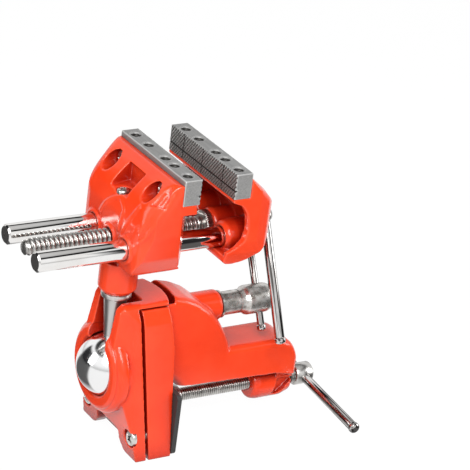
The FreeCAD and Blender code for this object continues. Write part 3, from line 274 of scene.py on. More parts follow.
def bar_chrome():
    """Plated bars, with painted reflections: dark bands that run along them, set by the way the surface faces."""
    f = Finish("satin_chrome", specular_ior_level=0.6)
    smear = f.noise(120, 5)
    # Painted reflections: dark bands keyed to the way the surface faces; they also make it rougher.
    reflection_bands = f.noise(2.6, 3, at=f.output("ShaderNodeTexCoord", "Normal"))
    tone = f.mix(smear.step(0.35, 0.65), (0.60, 0.585, 0.57), (0.76, 0.75, 0.74))
    tone = f.mix(reflection_bands.step(0.47, 0.56) * 0.92, tone, (0.07, 0.062, 0.058))
    # Painted shade in recesses.
    tone = f.mix(f.shaded(0.004) * 0.7, tone, (0.06, 0.05, 0.045))
    f.set(Metallic=1.0, Base_Color=tone, Roughness=0.05 + reflection_bands * 0.08)
    return f.material


def knob_steel():
    """The lock's knob is tumbled and plated: light, satin and mottled, with painted shade in its recesses."""
    f = Finish("satin_knob", specular_ior_level=0.5)
    mottle = f.noise(260, 6)
    tone = f.mix(mottle.step(0.35, 0.65), (0.36, 0.34, 0.31), (0.72, 0.71, 0.69))
    # Painted shade in the knob's recesses.
    tone = f.mix(f.shaded(0.003) * 0.7, tone, (0.06, 0.05, 0.045))
    f.set(Metallic=0.85, Base_Color=tone, Roughness=0.22 + mottle * 0.12)
    f.bump(mottle, 0.0002, 0.5)
    return f.material


def rod_chrome():
    """Polished along the rod; its sawn ends, which face along X, are dull and grainy."""
    f = Finish("rod_chrome", specular_ior_level=0.6)
    smear = f.noise(45, 4)
    facing = f.output("ShaderNodeNewGeometry", "Normal")
    end = (f.part_of("X", facing) ** 2).step(0.85, 0.98)
    streak = f.noise(1.0, 4, at=f.stretched(30, 1200, 1200))
    grain = f.noise(900, 4)
    sawn = f.mix(grain, (0.12, 0.115, 0.11), (0.3, 0.29, 0.28))
    polish = f.mix(smear.step(0.4, 0.7), (0.78, 0.765, 0.745), (0.87, 0.865, 0.86))
    f.set(Metallic=1.0, Base_Color=f.mix(end, polish, sawn),
          Roughness=0.04 + smear.step(0.5, 0.8) * 0.05 + streak * 0.04 + end * 0.4)
    f.bump(grain * end + streak * 0.05, 0.00006, 0.5)
    return f.material


def stud_chrome():
    """The ball is polished; the neck above it is only plated and brushed."""
    f = Finish("ball_chrome", specular_ior_level=0.6)
    centre = tuple(v * MM for v in BALL)
    off_ball = f.distance(centre).step((BALL_RADIUS + 0.3) * MM, (BALL_RADIUS + 2) * MM)
    smear = f.noise(80, 4)
    scuff = f.noise(1.0, 4, at=f.stretched(900, 900, 60))
    dull = f.mix(scuff, (0.5, 0.48, 0.46), (0.68, 0.67, 0.65))
    f.set(Metallic=1.0, Base_Color=f.mix(off_ball, (0.86, 0.86, 0.86), dull),
          Roughness=0.13 + smear.step(0.4, 0.8) * 0.08 + off_ball * (0.14 + scuff * 0.12))
    f.bump(scuff * off_ball, 0.00006, 0.4)
    return f.material


def plate_steel():
    """Ground along the plate's width, with brighter edges and painted shade in its corners."""
    f = Finish("ground_plate_steel")
    grain = f.noise(1.0, 5, 0.7, at=f.stretched(900, 60, 900))
    fleck = f.noise(700, 3)
    tone = f.mix(grain.step(0.3, 0.7), (0.22, 0.218, 0.215), (0.34, 0.337, 0.33))
    tone = f.mix(fleck.step(0.62, 0.75) * 0.25, tone, (0.25, 0.24, 0.23))
    tone = f.mix(f.wear() * 0.8, tone, (0.72, 0.72, 0.71))
    # Painted shade: darker in corners and recesses.
    f.set(Metallic=0.3, Base_Color=f.mix(f.shaded(0.004) * 0.6, tone, (0.06, 0.055, 0.05)),
          Roughness=0.42 + grain * 0.16)
    f.bump(fleck + grain, 0.00005, 0.6)
    return f.material


def knurl_steel():
    """Cut steel with painted shade in the grooves, which follow the pattern of the mesh."""
    f = Finish("knurled_steel")
    fleck = f.noise(800, 3)
    y, z = f.part_of("Y", f.place), f.part_of("Z", f.place)
    # Painted shade: near black in the V groove, the notches and the knurl's grooves.
    groove = 1 - (z / MM - GROOVE_HEIGHT).absolute().step(0.3, 0.6)
    for notch in NOTCHES:
        groove = groove.most(1 - (y / MM - notch).absolute().step(0.25, 0.5))
    for sign in (1, -1):
        turn = (y * KNURL_SLOPE + z * sign) / (KNURL_PITCH * MM)
        groove = groove.most((turn.fraction() - 0.5).absolute().step(0.36, 0.44))
    tone = f.mix(fleck.step(0.3, 0.7), (0.26, 0.255, 0.245), (0.46, 0.45, 0.435))
    tone = f.mix(f.wear() * 0.5, tone, (0.8, 0.8, 0.78))
    f.set(Metallic=0.85, Base_Color=f.mix(groove * 0.97, tone, (0.012, 0.011, 0.01)),
          Roughness=0.34 + fleck * 0.16)
    f.bump(fleck, 0.00005, 0.5)
    return f.material


def hole_shade():
    """Dark steel, as painted shade in threaded holes and the screws' recesses."""
    f = Finish("hole_shade")
    grime = f.noise(900, 3)
    tone = f.mix(grime, (0.02, 0.018, 0.016), (0.1, 0.095, 0.09))
    f.set(Metallic=0.7, Base_Color=tone, Roughness=0.35 + grime * 0.2)
    f.bump(grime, 0.00004, 0.5)
    return f.material


def thread_steel():
    """Rolled threads: bright crests and painted shade in the roots."""
    f = Finish("rolled_thread_steel")
    grime = f.noise(240, 4)
    tone = f.mix(grime.step(0.35, 0.65), (0.26, 0.245, 0.23), (0.5, 0.49, 0.47))
    tone = f.mix(f.wear() * 0.5, tone, (0.7, 0.69, 0.67))
    # Painted shade: near black in the roots.
    f.set(Metallic=1.0, Base_Color=f.mix(f.hollow() * 0.95, tone, (0.02, 0.018, 0.016)),
          Roughness=0.2 + grime * 0.18)
    f.bump(f.noise(1500, 2), 0.00002, 0.5)
    return f.material


def screw_zinc():
    """Zinc-plated screws with some grime, and painted shade in their hollows."""
    f = Finish("zinc_screw")
    grime = f.noise(500, 4)
    tone = f.mix(grime.step(0.35, 0.65), (0.5, 0.49, 0.46), (0.74, 0.73, 0.7))
    # Painted shade in the hollows.
    f.set(Metallic=1.0, Base_Color=f.mix(f.hollow() * 0.8, tone, (0.07, 0.06, 0.055)),
          Roughness=0.22 + grime * 0.15)
    f.bump(grime, 0.00003, 0.4)
    return f.material


def black_rubber():
    """Grainy rubber with some dust, greyer on its edges."""
    f = Finish("black_rubber", specular_ior_level=0.35)
    grain = f.noise(1400, 3)
    dust = f.noise(70, 5)
    tone = f.mix(dust.step(0.5, 0.75) * 0.6, (0.007, 0.007, 0.0075), (0.03, 0.03, 0.029))
    f.set(Base_Color=f.mix(f.wear() * 0.5, tone, (0.07, 0.07, 0.07)), Roughness=0.5 + grain * 0.2)
    f.bump(grain, 0.00008, 0.6)
    return f.material


FINISHES = {
    PAINT: enamel(),
    CHROME: chrome(),
    NICKEL: plate_steel(),
    RUBBER: black_rubber(),
    ZINC: screw_zinc(),
    THREAD: thread_steel(),
}
STUD = stud_chrome()
ROD = rod_chrome()
HOLE_SHADE = hole_shade()
BAR = bar_chrome()
KNOB = knob_steel()
KNURL = knurl_steel()


def dress_solids():
    """Each solid gets its slot's finish, and the ball's stud its own."""
    for row in frame["record"]["subparts"]:
        mesh = NODES[row["node"]].data
        mesh.materials.clear()
        mesh.materials.append(FINISHES[row["material_slot"]])
    NODES["ball_stud"].data.materials[0] = STUD


# Mesh helpers ---------------------------------------------------------------


def add_object(name, data):
    piece = bpy.data.objects.new(name, data)
    bpy.context.scene.collection.objects.link(piece)
    return piece


def face_outward(mesh, weld=0):
    """Turn all faces outward, after joining points that are closer than weld, in m."""
    bm = bmesh.new()
    bm.from_mesh(mesh)
    if weld:
        bmesh.ops.remove_doubles(bm, verts=bm.verts, dist=weld)
    bmesh.ops.recalc_face_normals(bm, faces=bm.faces)
    bm.to_mesh(mesh)
    bm.free()


def new_piece(name, verts, faces, material, sharp=180):
    """A smooth piece; edges that bend by more than sharp, in degrees, stay crisp."""
    mesh = bpy.data.meshes.new(name)
    mesh.from_pydata([tuple(v) for v in verts], [], faces)
    mesh.validate()
    face_outward(mesh)
    mesh.materials.append(material)
    mesh.shade_smooth()
    if sharp < 180:
        mesh.set_sharp_from_angle(angle=math.radians(sharp))
    return add_object(name, mesh)


def carry(piece, body, slot, *nodes):
    """The piece moves with the body and stands in for the named solids."""
    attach(piece, body)
    if nodes:
        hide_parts(*nodes)


def angles(around):
    return [2 * math.pi * k / around for k in range(around)]


def between_rings(rings, around, first=0):
    """The faces between each ring of points and the next; first is the first ring's first point."""
    faces = []
    for ring in range(rings - 1):
        here = first + ring * around
        there = here + around
        for k in range(around):
            n = (k + 1) % around
            faces.append((here + k, here + n, there + n, there + k))
    return faces


def disc(ring, around, first=0):
    """The face that closes a ring of points."""
    return tuple(first + ring * around + k for k in range(around))


def closed_rings(rings, around):
    """The faces of a closed solid made of rings of points."""
    return [*between_rings(rings, around), disc(0, around), disc(rings - 1, around)]


def lathe_x(name, radius_at, stations, height, material, around):
    """A closed solid round an X axis, in mm; radius_at(x, angle) gives its radius."""
    verts = []
    for x in stations:
        for a in angles(around):
            r = radius_at(x, a) * MM
            verts.append((x * MM, r * math.cos(a), height * MM + r * math.sin(a)))
    return new_piece(name, verts, closed_rings(len(stations), around), material, sharp=50)


def turning(name, origin, axis, outline, material, around=64):
    """A closed turned part, in mm; outline lists (height along the axis, radius)."""
    up = Vector(axis).normalized()
    side = up.orthogonal().normalized()
    third = up.cross(side)
    verts = []
    for t, r in outline:
        for a in angles(around):
            spoke = side * math.cos(a) + third * math.sin(a)
            verts.append(Vector(origin) * MM + up * (t * MM) + spoke * (r * MM))
    return new_piece(name, verts, closed_rings(len(outline), around), material, sharp=32)


def rounded(t0, r0, t1, r1, steps=6):
    """Points of a quarter round from (t0, r0) to (t1, r1), full at the first end."""
    turns = [math.pi / 2 * i / steps for i in range(1, steps + 1)]
    return [(t0 + (t1 - t0) * math.sin(a), r1 + (r0 - r1) * math.cos(a)) for a in turns]


# Shapes pressed into the castings -------------------------------------------
# A shape takes a point and its normal and gives the point's new place.


def ease(at, facing, soft):
    """Presses back, in a curve, what stands near or beyond the plane through a point, in mm."""
    n = Vector(facing).normalized()
    at = Vector(at) * MM
    soft = soft * MM

    def press(v, normal):
        over = (v - at).dot(n) + soft
        return v - n * (over - soft * (1 - math.exp(-over / soft))) if over > 0 else v

    return press


def arm_end(v, normal):
    """Rounds off and narrows the arm's end, from 6 mm above the clamp screw's axis."""
    start, end, base = 77 * MM, 97.5 * MM, 6 * MM
    narrowest = 0.55
    if v.x <= start or v.z <= base:
        return v
    t = (v.x - start) / (end - start)
    f = math.sqrt(max(0, 1 - t * t))
    return Vector((v.x, v.y * (narrowest + (1 - narrowest) * f), base + (v.z - base) * f))


def dome_step(v, normal):
    """Raises the ring round the ball's mouth."""
    back, inner, outer, height = -24 * MM, 17.2, 25.2, 0.8
    inner_slope, outer_slope = 1.2, 0.7
    centre = Vector(BALL) * MM
    off = Vector((0, v.y, v.z - centre.z)).length / MM
    if v.x > back or not inner < off < outer:
        return v
    lift = min(1, (outer - off) / outer_slope) * height * min(1, (off - inner) / inner_slope)
    return v + (v - centre).normalized() * (lift * MM)


def bent(*points, steps=24):
    """A smooth path through the given points: a Catmull-Rom curve."""
    points = [Vector(q) for q in points]
    ends = [points[0] * 2 - points[1]] + points + [points[-1] * 2 - points[-2]]
    path = []
    for a, b, c, d in zip(ends, ends[1:], ends[2:], ends[3:]):
        for i in range(steps):
            t = i / steps
            path.append(0.5 * (b * 2 + (c - a) * t + (a * 2 - b * 5 + c * 4 - d) * t * t
                               + (b * 3 - a - c * 3 + d) * t ** 3))
    return path + [points[-1]]


def ribs(*paths, height=0.95, width=1.7):
    """Raises lines along the paths, in mm; width is from a line's middle to its foot."""
    points = [p * MM for path in paths for p in path]
    tree = KDTree(len(points))
    for i, p in enumerate(points):
        tree.insert(p, i)
    tree.balance()

    def lift(v, normal):
        near = tree.find(v)[2] / (width * MM)
        return v + normal * (height * MM * (1 - near * near) ** 2) if near < 1 else v

    return lift


# Castings -------------------------------------------------------------------


def prism(name, outline, low, high):
    """A cutter with its outline in x and z, from one y to another, in mm."""
    mesh = bpy.data.meshes.new(name)
    n = len(outline)
    points = [Vector((x, y, z)) * MM for y in (low, high) for x, z in outline]
    sides = [(i, (i + 1) % n, n + (i + 1) % n, n + i) for i in range(n)]
    mesh.from_pydata(points, [], [tuple(range(n))[::-1], tuple(range(n, 2 * n)), *sides])
    face_outward(mesh)
    return add_object(name, mesh)


def result(piece):
    """The mesh that the piece's modifiers make; the modifiers are taken off."""
    shown = piece.evaluated_get(bpy.context.evaluated_depsgraph_get())
    mesh = bpy.data.meshes.new_from_object(shown)
    piece.modifiers.clear()
    return mesh


def casting(name, node, body, slot, voxel, passes, strength=0.6, shaping=(), sinks=()):
    """The node's solid without the sinks, rebuilt in voxels, shaped and smoothed. voxel is in mm."""
    mesh = NODES[node].data.copy()
    mesh.name = name
    face_outward(mesh, weld=1e-6)
    piece = add_object(name, mesh)
    for i, sink in enumerate(sinks):
        cut = piece.modifiers.new(f"sink{i}", "BOOLEAN")
        cut.operation, cut.object, cut.solver = "DIFFERENCE", sink, "EXACT"
    blocks = piece.modifiers.new("blocks", "REMESH")
    blocks.mode, blocks.voxel_size, blocks.adaptivity = "VOXEL", voxel * MM, 0
    if shaping:
        mesh = result(piece)
        for v in mesh.vertices:
            for shape in shaping:
                v.co = shape(v.co, v.normal)
        piece.data = mesh
    soft = piece.modifiers.new("soft", "SMOOTH")
    soft.factor, soft.iterations = strength, passes
    piece.data = result(piece)
    piece.data.name = name
    piece.data.materials.clear()
    piece.data.materials.append(FINISHES[slot])
    piece.data.shade_smooth()
    for sink in sinks:
        bpy.data.objects.remove(sink)
    carry(piece, body, slot, node)


def base_casting():
    """The base: pockets in the sides of the clamp screw's boss, and a parting face set back."""
    pocket = [(83, 5.4), (95.5, 4.4), (84, -6.4), (80, -5.4)]
    sinks = [prism("hub_pocket", pocket, 6.2, 12), prism("hub_pocket", pocket, -12, -6.2)]
    parting = ease((-17.9, 0, -20.5), (-95.0, 0, -7), 0.3)
    casting("base_casting", "clamp_body", "clamp_base", PAINT, CASTING_VOXEL,
            passes=4, shaping=(arm_end, parting), sinks=sinks)


def cover_casting():
    """The ball's cover: a raised ring round the mouth that the ball looks out of."""
    casting("cover_casting", "ball_cover", "clamp_base", PAINT, CASTING_VOXEL,
            passes=3, shaping=(dome_step,))


def fixed_jaw_casting():
    """The fixed jaw: raised ribs on its back and soft upper corners."""
    raised = ribs(
        bent((-38.9, -24.4, 142.8), (-41.3, -20.9, 135.9), (-42.0, -15.0, 125.9), (-42.0, -12.5, 121.0)),
        bent((-28.4, -33.4, 152.2), (-33.2, -33.9, 147.0), (-38.1, -34.0, 141.0), (-40.8, -30.5, 129.8)),
        bent((-25.6, -37.3, 153.2), (-29.2, -37.1, 146.6), (-34.3, -37.4, 140.1), (-38.4, -34.4, 129.4),
             (-40.5, -31.0, 124.0)),
        bent((-42.0, 13.2, 123.7), (-41.9, 7.9, 131.7), (-40.9, 2.4, 136.6), (-39.8, -4.2, 140.3)),
        bent((-39.8, -4.4, 140.1), (-41.2, -11.4, 135.4), (-42.0, -10.0, 127.3), (-42.0, -9.0, 122.0)),
    )
    corners = [ease((-33, side * 35.5, 146.5), (-0.6, side * 0.7, 0.4), 4) for side in (-1, 1)]
    casting("fixed_jaw_casting", "fixed_jaw", "fixed_head", PAINT, CASTING_VOXEL,
            passes=5, shaping=(raised, *corners))


def movable_jaw_casting():
    """The movable jaw: soft upper corners."""
    corners = [ease((41.3, side * 35, 143), (0.7, side * 0.4, 0.6), 2.5) for side in (-1, 1)]
    casting("movable_jaw_casting", "movable_jaw", "moving_head", PAINT, CASTING_VOXEL,
            passes=8, shaping=corners)


# Screws with threads --------------------------------------------------------


def ridge(t):
    """A rolled thread's form over one turn, 0 at the root and 1 at the crest."""
    root, flank = 0.22, 0.5
    t = abs((t % 1) - 0.5) * 2
    return min(1, max(0, (t - root) / flank))


def threaded(name, outline, height, root, crest, start, end, pitch, steps, around):
    """A screw along X, in mm: outline lists (x, radius); the thread is cut from start to end."""

    def plain(x):
        for (x0, r0), (x1, r1) in zip(outline, outline[1:]):
            if x0 <= x <= x1:
                return r0 + (r1 - r0) * (x - x0) / (x1 - x0)
        return outline[-1][1]

    def radius(x, angle):
        if x < start or x > end:
            return plain(x)
        fade = min(1, (x - start) / pitch, (end - x) / pitch)
        turn = x / pitch - angle / (2 * math.pi)
        return min(plain(x), root + (crest - root) * ridge(turn) * fade)

    count = int((end - start) / pitch * steps)
    stations = sorted({start + (end - start) * i / count for i in range(count + 1)}
                      | {x for x, _ in outline if x < start or x > end})
    return lathe_x(name, radius, stations, height, FINISHES[THREAD], around)


def lead_screw():
    outline = [
        (-97, 3.2), (-96.3, 4.2), (-95.6, 5.0), (17, 5.0), (17.5, 4.9), (51.3, 4.95),
        (51.3001, 5.9), (51.7, 6.3), (54.2, 6.3), (54.9, 5.2), (62.8, 5.1), (64.4, 4.7),
        (66.1, 3.6), (67.0, 2.2), (67.4, 0.8),
    ]
    screw = threaded("lead_screw_threaded", outline, LEAD[2], root=4.0, crest=5.0,
                     start=-96.2, end=17, pitch=3.0, steps=10, around=48)
    carry(screw, "lead_spindle", THREAD, "lead_screw")


def clamp_screw():
    outline = [
        (12, 4.0), (15, 4.0), (97, 4.0), (97.0001, 5.4), (99.7, 5.4), (100, 6.2),
        (100.6, 6.75), (111.2, 6.75), (112.0, 6.1), (112.3, 4.8),
    ]
    screw = threaded("clamp_screw_threaded", outline, CLAMP[2], root=3.35, crest=4.0,
                     start=16, end=96.5, pitch=1.5, steps=8, around=40)
    carry(screw, "clamp_spindle", THREAD, "clamp_screw")


# Rods, bars, ball, lock knob and collar, all turned and plated --------------


def guide_rods():
    outline = [(-99, 4.9), (-98.7, 5.35), (-98.2, 5.9), (-97.8, 6.0), (43.2, 6.0), (43.8, 5.7), (44, 5.2)]
    for end, y in (("front", -ROD_SPREAD), ("back", ROD_SPREAD)):
        rod = turning(f"guide_rod_{end}_polished", (0, y, LEAD[2]), (1, 0, 0), outline, ROD)
        carry(rod, "moving_head", CHROME, f"guide_rod_{end}")


def cap_outline(radius, cap_radius, tip, way):
    """A knob with a fine groove behind it; way is 1 where the tip is the bar's upper end, else -1."""
    near = tip - way * CAP_LENGTH
    shoulder = tip - way * cap_radius * 0.62
    return [
        (near, radius - 0.5), (near + way * 0.35, radius - 0.45), (near + way * 0.5, cap_radius - 0.25),
        (near + way * 0.8, cap_radius), (shoulder, cap_radius),
        *rounded(shoulder, cap_radius, tip, cap_radius * 0.22),
    ]


def sliding_bar(node, high_cap, low_cap, body, origin, lean, radius, cap_radius, low, high):
    """A bar that leans from +Z towards +Y by some degrees, with a knob pressed on each end."""
    axis = (0, math.sin(math.radians(lean)), math.cos(math.radians(lean)))
    start, end = low + CAP_LENGTH, high - CAP_LENGTH
    outline = [(start, radius - 0.05), (start + 0.1, radius), (end - 0.1, radius), (end, radius - 0.05)]
    carry(turning(node + "_polished", origin, axis, outline, BAR, 40), body, CHROME, node)
    for cap, tip, way in ((high_cap, high, 1), (low_cap, low, -1)):
        outline = cap_outline(radius, cap_radius, tip, way)
        carry(turning(cap + "_knob", origin, axis, outline, BAR, 40), body, CHROME, cap)


def sliding_bars():
    sliding_bar("lead_bar", "lead_bar_cap_top", "lead_bar_cap_bottom", "lead_handle", LEAD,
                lean=27, radius=3, cap_radius=3.4, low=-77.5, high=13)
    sliding_bar("clamp_bar", "clamp_bar_cap_front", "clamp_bar_cap_back", "clamp_handle", CLAMP,
                lean=-94.9, radius=3, cap_radius=3.4, low=-13, high=64.5)
    sliding_bar("lock_bar", "lock_bar_cap_top", "lock_bar_cap_bottom", "lock_handle", LOCK,
                lean=29, radius=2.25, cap_radius=2.75, low=-20, high=34)


def ball_and_neck():
    """The ball, and above it the neck with its collar and the stub in the jaw."""
    turns = [math.pi * i / 48 for i in range(1, 44)]
    outline = [(-BALL_RADIUS * math.cos(a), BALL_RADIUS * math.sin(a)) for a in turns]
    outline += [(18.55, 4.75), (20, 4.7), (44.9, 7.0), (45.0, 7.0), (45.05, 8.3), (45.5, 8.8),
                (46.1, 9.0), (47.6, 9.0), (48.2, 8.8), (48.6, 8.3), (48.6, 4.0), (64, 4.0)]
    stud = turning("ball_and_neck", BALL, (0, 0, 1), outline, STUD, 96)
    carry(stud, "ball_neck", CHROME, "ball_stud")


def lock_knob():
    """The lock screw's shank, its grooved collar and its domed knob."""
    outline = [(-20.3, 4.6), (-19.9, 5.0), (39.0, 5.0), (39.1, 6.7), (39.5, 7.2), (50.5, 7.2),
               (50.8, 6.8), (51.3, 6.8), (51.6, 7.2), (54.0, 7.3), (55.2, 7.9), (56.0, 8.7),
               (57.2, 9.0), (68.5, 9.0)]
    outline += rounded(68.5, 9.0, 77.0, 1.6, steps=12)
    knob = turning("lock_knob", (0, 0, LOCK[2]), (1, 0, 0), outline, KNOB, 96)
    carry(knob, "lock_spindle", CHROME, "lock_screw")


def thrust_collar():
    """A ring on the lead screw with fine ribs along it."""
    low, high = (corner.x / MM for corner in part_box("thrust_collar"))

    def radius(x, a):
        t = (x - low) / (high - low)
        edge = min(1, t / 0.12, (1 - t) / 0.12)
        rib = 0.5 + 0.5 * math.cos(a * 40)
        return 7.4 + 0.2 * edge + 0.38 * edge * rib

    stations = [low + (high - low) * t for t in (0, 0.06, 0.12, 0.3, 0.5, 0.7, 0.88, 0.94, 1)]
    collar = lathe_x("thrust_collar_ribbed", radius, stations, LEAD[2], FINISHES[THREAD], 240)
    carry(collar, "moving_head", THREAD, "thrust_collar")


# Cross-recessed screws ------------------------------------------------------


# Head radius, head height and shank radius of each screw, in mm.
COVER_SCREW = (4.75, 3, 2.5)
PLATE_SCREW = (4.38, 2.8, 2.2)
JAW_SCREW = (3.5, 2.6, 2.2)


def cross_recess(r, a, radius, height):
    """The recess's depth at a distance and an angle from the middle of a head, in mm."""
    reach, wing = radius * 0.62, radius * 0.12
    u, v = abs(r * math.cos(a)), abs(r * math.sin(a))
    deep = 0
    for along, across in ((u, v), (v, u)):
        inside = min(1, max(0, (wing * (1.25 - 0.45 * along / reach) - across) / 0.16))
        deep = max(deep, inside * max(0, 1 - (along / reach) ** 4))
    core = max(0, 1 - (r / (radius * 0.3)) ** 3)
    return max(deep * 0.75, core) * height * 0.72


def pan_screw(name, radius, height, shank, length, seat, axis, across):
    """A screw with a domed head: seat is the head's underside, axis points out of the head."""
    out = Vector(axis).normalized()
    side = Vector(across).normalized()
    third = out.cross(side)
    rings, around = 26, 96
    crown, rim, roll = 0.7, 0.9, 0.5

    def place(r, a, h):
        return Vector(seat) + out * (h * MM) + (side * math.cos(a) + third * math.sin(a)) * (r * MM)

    verts = [place(0, 0, height - cross_recess(0, 0, radius, height))]
    for i in range(1, rings + 1):
        r = radius * i / rings
        edge = max(0, (r - (radius - rim)) / rim)
        h = height - crown * (r / radius) ** 2 - roll * edge ** 3
        verts += [place(r, a, h - cross_recess(r, a, radius, height)) for a in angles(around)]
    for r, h in ((radius, 0), (shank, 0), (shank, -length)):
        verts += [place(r, a, h) for a in angles(around)]
    faces = [(0, 1 + k, 1 + (k + 1) % around) for k in range(around)]
    faces += between_rings(rings + 3, around, 1)
    faces.append(disc(rings + 2, around, 1))
    piece = new_piece(name, verts, faces, FINISHES[ZINC], sharp=40)

    mesh = piece.data
    # The deepest faces of the cross recess get the painted shade finish.
    mesh.materials.append(HOLE_SHADE)
    for face in mesh.polygons:
        corners = [mesh.vertices[v].co for v in face.vertices]
        spot = sum(corners, Vector()) / len(corners) - Vector(seat)
        rise = spot.dot(out)
        flat = spot - out * rise
        a, r = math.atan2(flat.dot(third), flat.dot(side)), flat.length / MM
        if rise > 0.3 * height * MM and cross_recess(r, a, radius, height) > 0.35:
            face.material_index = 1
    return piece


def swap_screw(node, body, out, turn, radius, height, shank):
    """Put a cross-recessed screw, turned by some radians, in the place of a plain one."""
    low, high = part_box(node)
    k = 0 if out[0] else 2
    length = (high[k] - low[k]) / MM - height
    seat = (low + high) / 2
    seat[k] = low[k] + height * MM if out[k] < 0 else high[k] - height * MM
    across = (0, math.cos(turn), math.sin(turn)) if k == 0 else (math.cos(turn), math.sin(turn), 0)
    screw = pan_screw(node + "_cross", radius, height, shank, length, seat, out, across)
    carry(screw, body, ZINC, node)


def cross_screws():
    for end, turn in (("front", 0.5), ("back", 1.1)):
        swap_screw(f"cover_screw_{end}", "clamp_base", (-1, 0, 0), turn, *COVER_SCREW)
        swap_screw(f"fixed_plate_screw_{end}", "fixed_head", (-1, 0, 0), turn + 0.2, *PLATE_SCREW)
        swap_screw(f"movable_plate_screw_{end}", "moving_head", (1, 0, 0), turn + 0.6, *PLATE_SCREW)
    swap_screw("jaw_screw", "fixed_head", (0, 0, 1), 0.3, *JAW_SCREW)


# Jaw plates -----------------------------------------------------------------
# face is the x of a plate's gripping side, and inward is the sign of the way
# from there into the plate.


def countersink(x, y, top):
    """A cutter for a peg hole's wide mouth."""
    depth, above, narrow, wide = 0.85, 0.3, PEG_HOLE_RADIUS - 0.15, PEG_HOLE_RADIUS + 1.0
    mesh = bpy.data.meshes.new("sink")
    bm = bmesh.new()
    bmesh.ops.create_cone(bm, cap_ends=True, segments=48, radius1=narrow * MM, radius2=wide * MM,
                          depth=(depth + above) * MM)
    z = top - depth / 2 + above / 2
    bmesh.ops.translate(bm, verts=bm.verts, vec=(x * MM, y * MM, z * MM))
    bm.to_mesh(mesh)
    bm.free()
    return add_object("countersink", mesh)


def hole_thread(name, body, x, y, top):
    """The thread inside one peg hole, from under its countersink and closed at the bottom."""
    pitch, depth, height, around, steps = 1.0, 11.6, 0.4, 40, 6
    rows = int(depth / pitch * steps)
    verts = []
    for i in range(rows + 1):
        z = top - 0.95 - depth * i / rows
        for a in angles(around):
            crest = height * ridge(z / pitch - a / (2 * math.pi)) * min(1, i / steps)
            r = PEG_HOLE_RADIUS - 0.02 - crest
            verts.append(((x + r * math.cos(a)) * MM, (y + r * math.sin(a)) * MM, z * MM))
    faces = [*between_rings(rows + 1, around), disc(rows, around)]
    # The thread gets the painted shade finish.
    carry(new_piece(name, verts, faces, HOLE_SHADE), body, NICKEL)


def jaw_plate(node, body, low, high, face, inward):
    """The plate with eased edges, a seat for the knurl, and threaded peg holes with wide mouths."""
    margin, seat_depth = 6, 0.5
    front, back = face - inward, face + inward * seat_depth
    under, over, half = low[2] - margin, high[2] + margin, high[1] + margin
    middle, top = (low[0] + high[0]) / 2, high[2]
    seat = [(front, under), (back, under), (back, over), (front, over)]
    sinks = [prism("knurl_seat", seat, -half, half)]
    sinks += [countersink(middle, y, top) for y in PEG_HOLES]
    casting(node + "_eased", node, body, NICKEL, PLATE_VOXEL, passes=2, strength=0.5, sinks=sinks)
    for i, y in enumerate(PEG_HOLES):
        hole_thread(f"{node}_hole_thread_{i}", body, middle, y, top)


def knurl_depth(y, z):
    """How far the knurl lies below the face: diamonds, a V groove along it and upright notches."""
    tip, root, deepest = 0.02, 0.32, 0.44
    cut, groove_side, notch_side = 0.3, 0.55, 0.45
    u, v = (KNURL_SLOPE * y + z) / KNURL_PITCH, (KNURL_SLOPE * y - z) / KNURL_PITCH
    rise = (0.5 - max(abs((u % 1) - 0.5), abs((v % 1) - 0.5))) * 2
    depth = root - min(1, rise / 0.5) * (root - tip)
    depth += cut * max(0, 1 - abs(z - GROOVE_HEIGHT) / groove_side)
    notch = max(max(0, 1 - abs(y - n) / notch_side) for n in NOTCHES)
    return min(deepest, depth + cut * notch)


def knurl(name, body, low, high, face, inward):
    """The knurled front of a plate: a sheet of points with its rim turned into the plate."""
    inset, rim, shoulder = 0.05, 0.75, 0.14
    bottom, top, half = low[2] + inset, high[2] - inset, high[1] - inset
    across, up = int(2 * half / KNURL_STEP), int((top - bottom) / KNURL_STEP)
    verts = []
    for i in range(across + 1):
        y = min(half, max(-half, -half + 2 * half * (i - 1) / (across - 2)))
        for j in range(up + 1):
            z = min(top, max(bottom, bottom + (top - bottom) * (j - 1) / (up - 2)))
            ring = min(i, across - i, j, up - j)
            depth = rim if ring == 0 else knurl_depth(y, z)
            if ring == 1:
                depth = max(shoulder, depth)
            verts.append(((face + inward * depth) * MM, y * MM, z * MM))
    faces = []
    for i in range(across):
        for j in range(up):
            a = i * (up + 1) + j
            faces.append((a, a + 1, a + up + 2, a + up + 1))
    carry(new_piece(name, verts, faces, KNURL), body, NICKEL)


def jaw_plates():
    for label, body, inward in (("fixed", "fixed_head", -1), ("movable", "moving_head", 1)):
        node = f"{label}_jaw_plate"
        low, high = ([round(v / MM, 3) for v in corner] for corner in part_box(node))
        face = high[0] if inward < 0 else low[0]
        jaw_plate(node, body, low, high, face, inward)
        knurl(f"{label}_plate_knurl", body, low, high, face, inward)


# Stage ----------------------------------------------------------------------


def rays(nodes, kind):
    """1 for rays of one kind, such as Camera or Glossy."""
    return nodes.output("ShaderNodeLightPath", f"Is {kind} Ray")


def screens(nodes, toward):
    """1 behind the two dark screens that stand to the left and right of the object."""
    turn = math.radians(-34)
    x, y = nodes.part_of("X", toward), nodes.part_of("Y", toward)
    length = (x * x + y * y) ** 0.5
    facing = (x * math.cos(turn) + y * math.sin(turn)) / (length + 0.0001)
    return (facing * facing).step(0.72, 0.80)


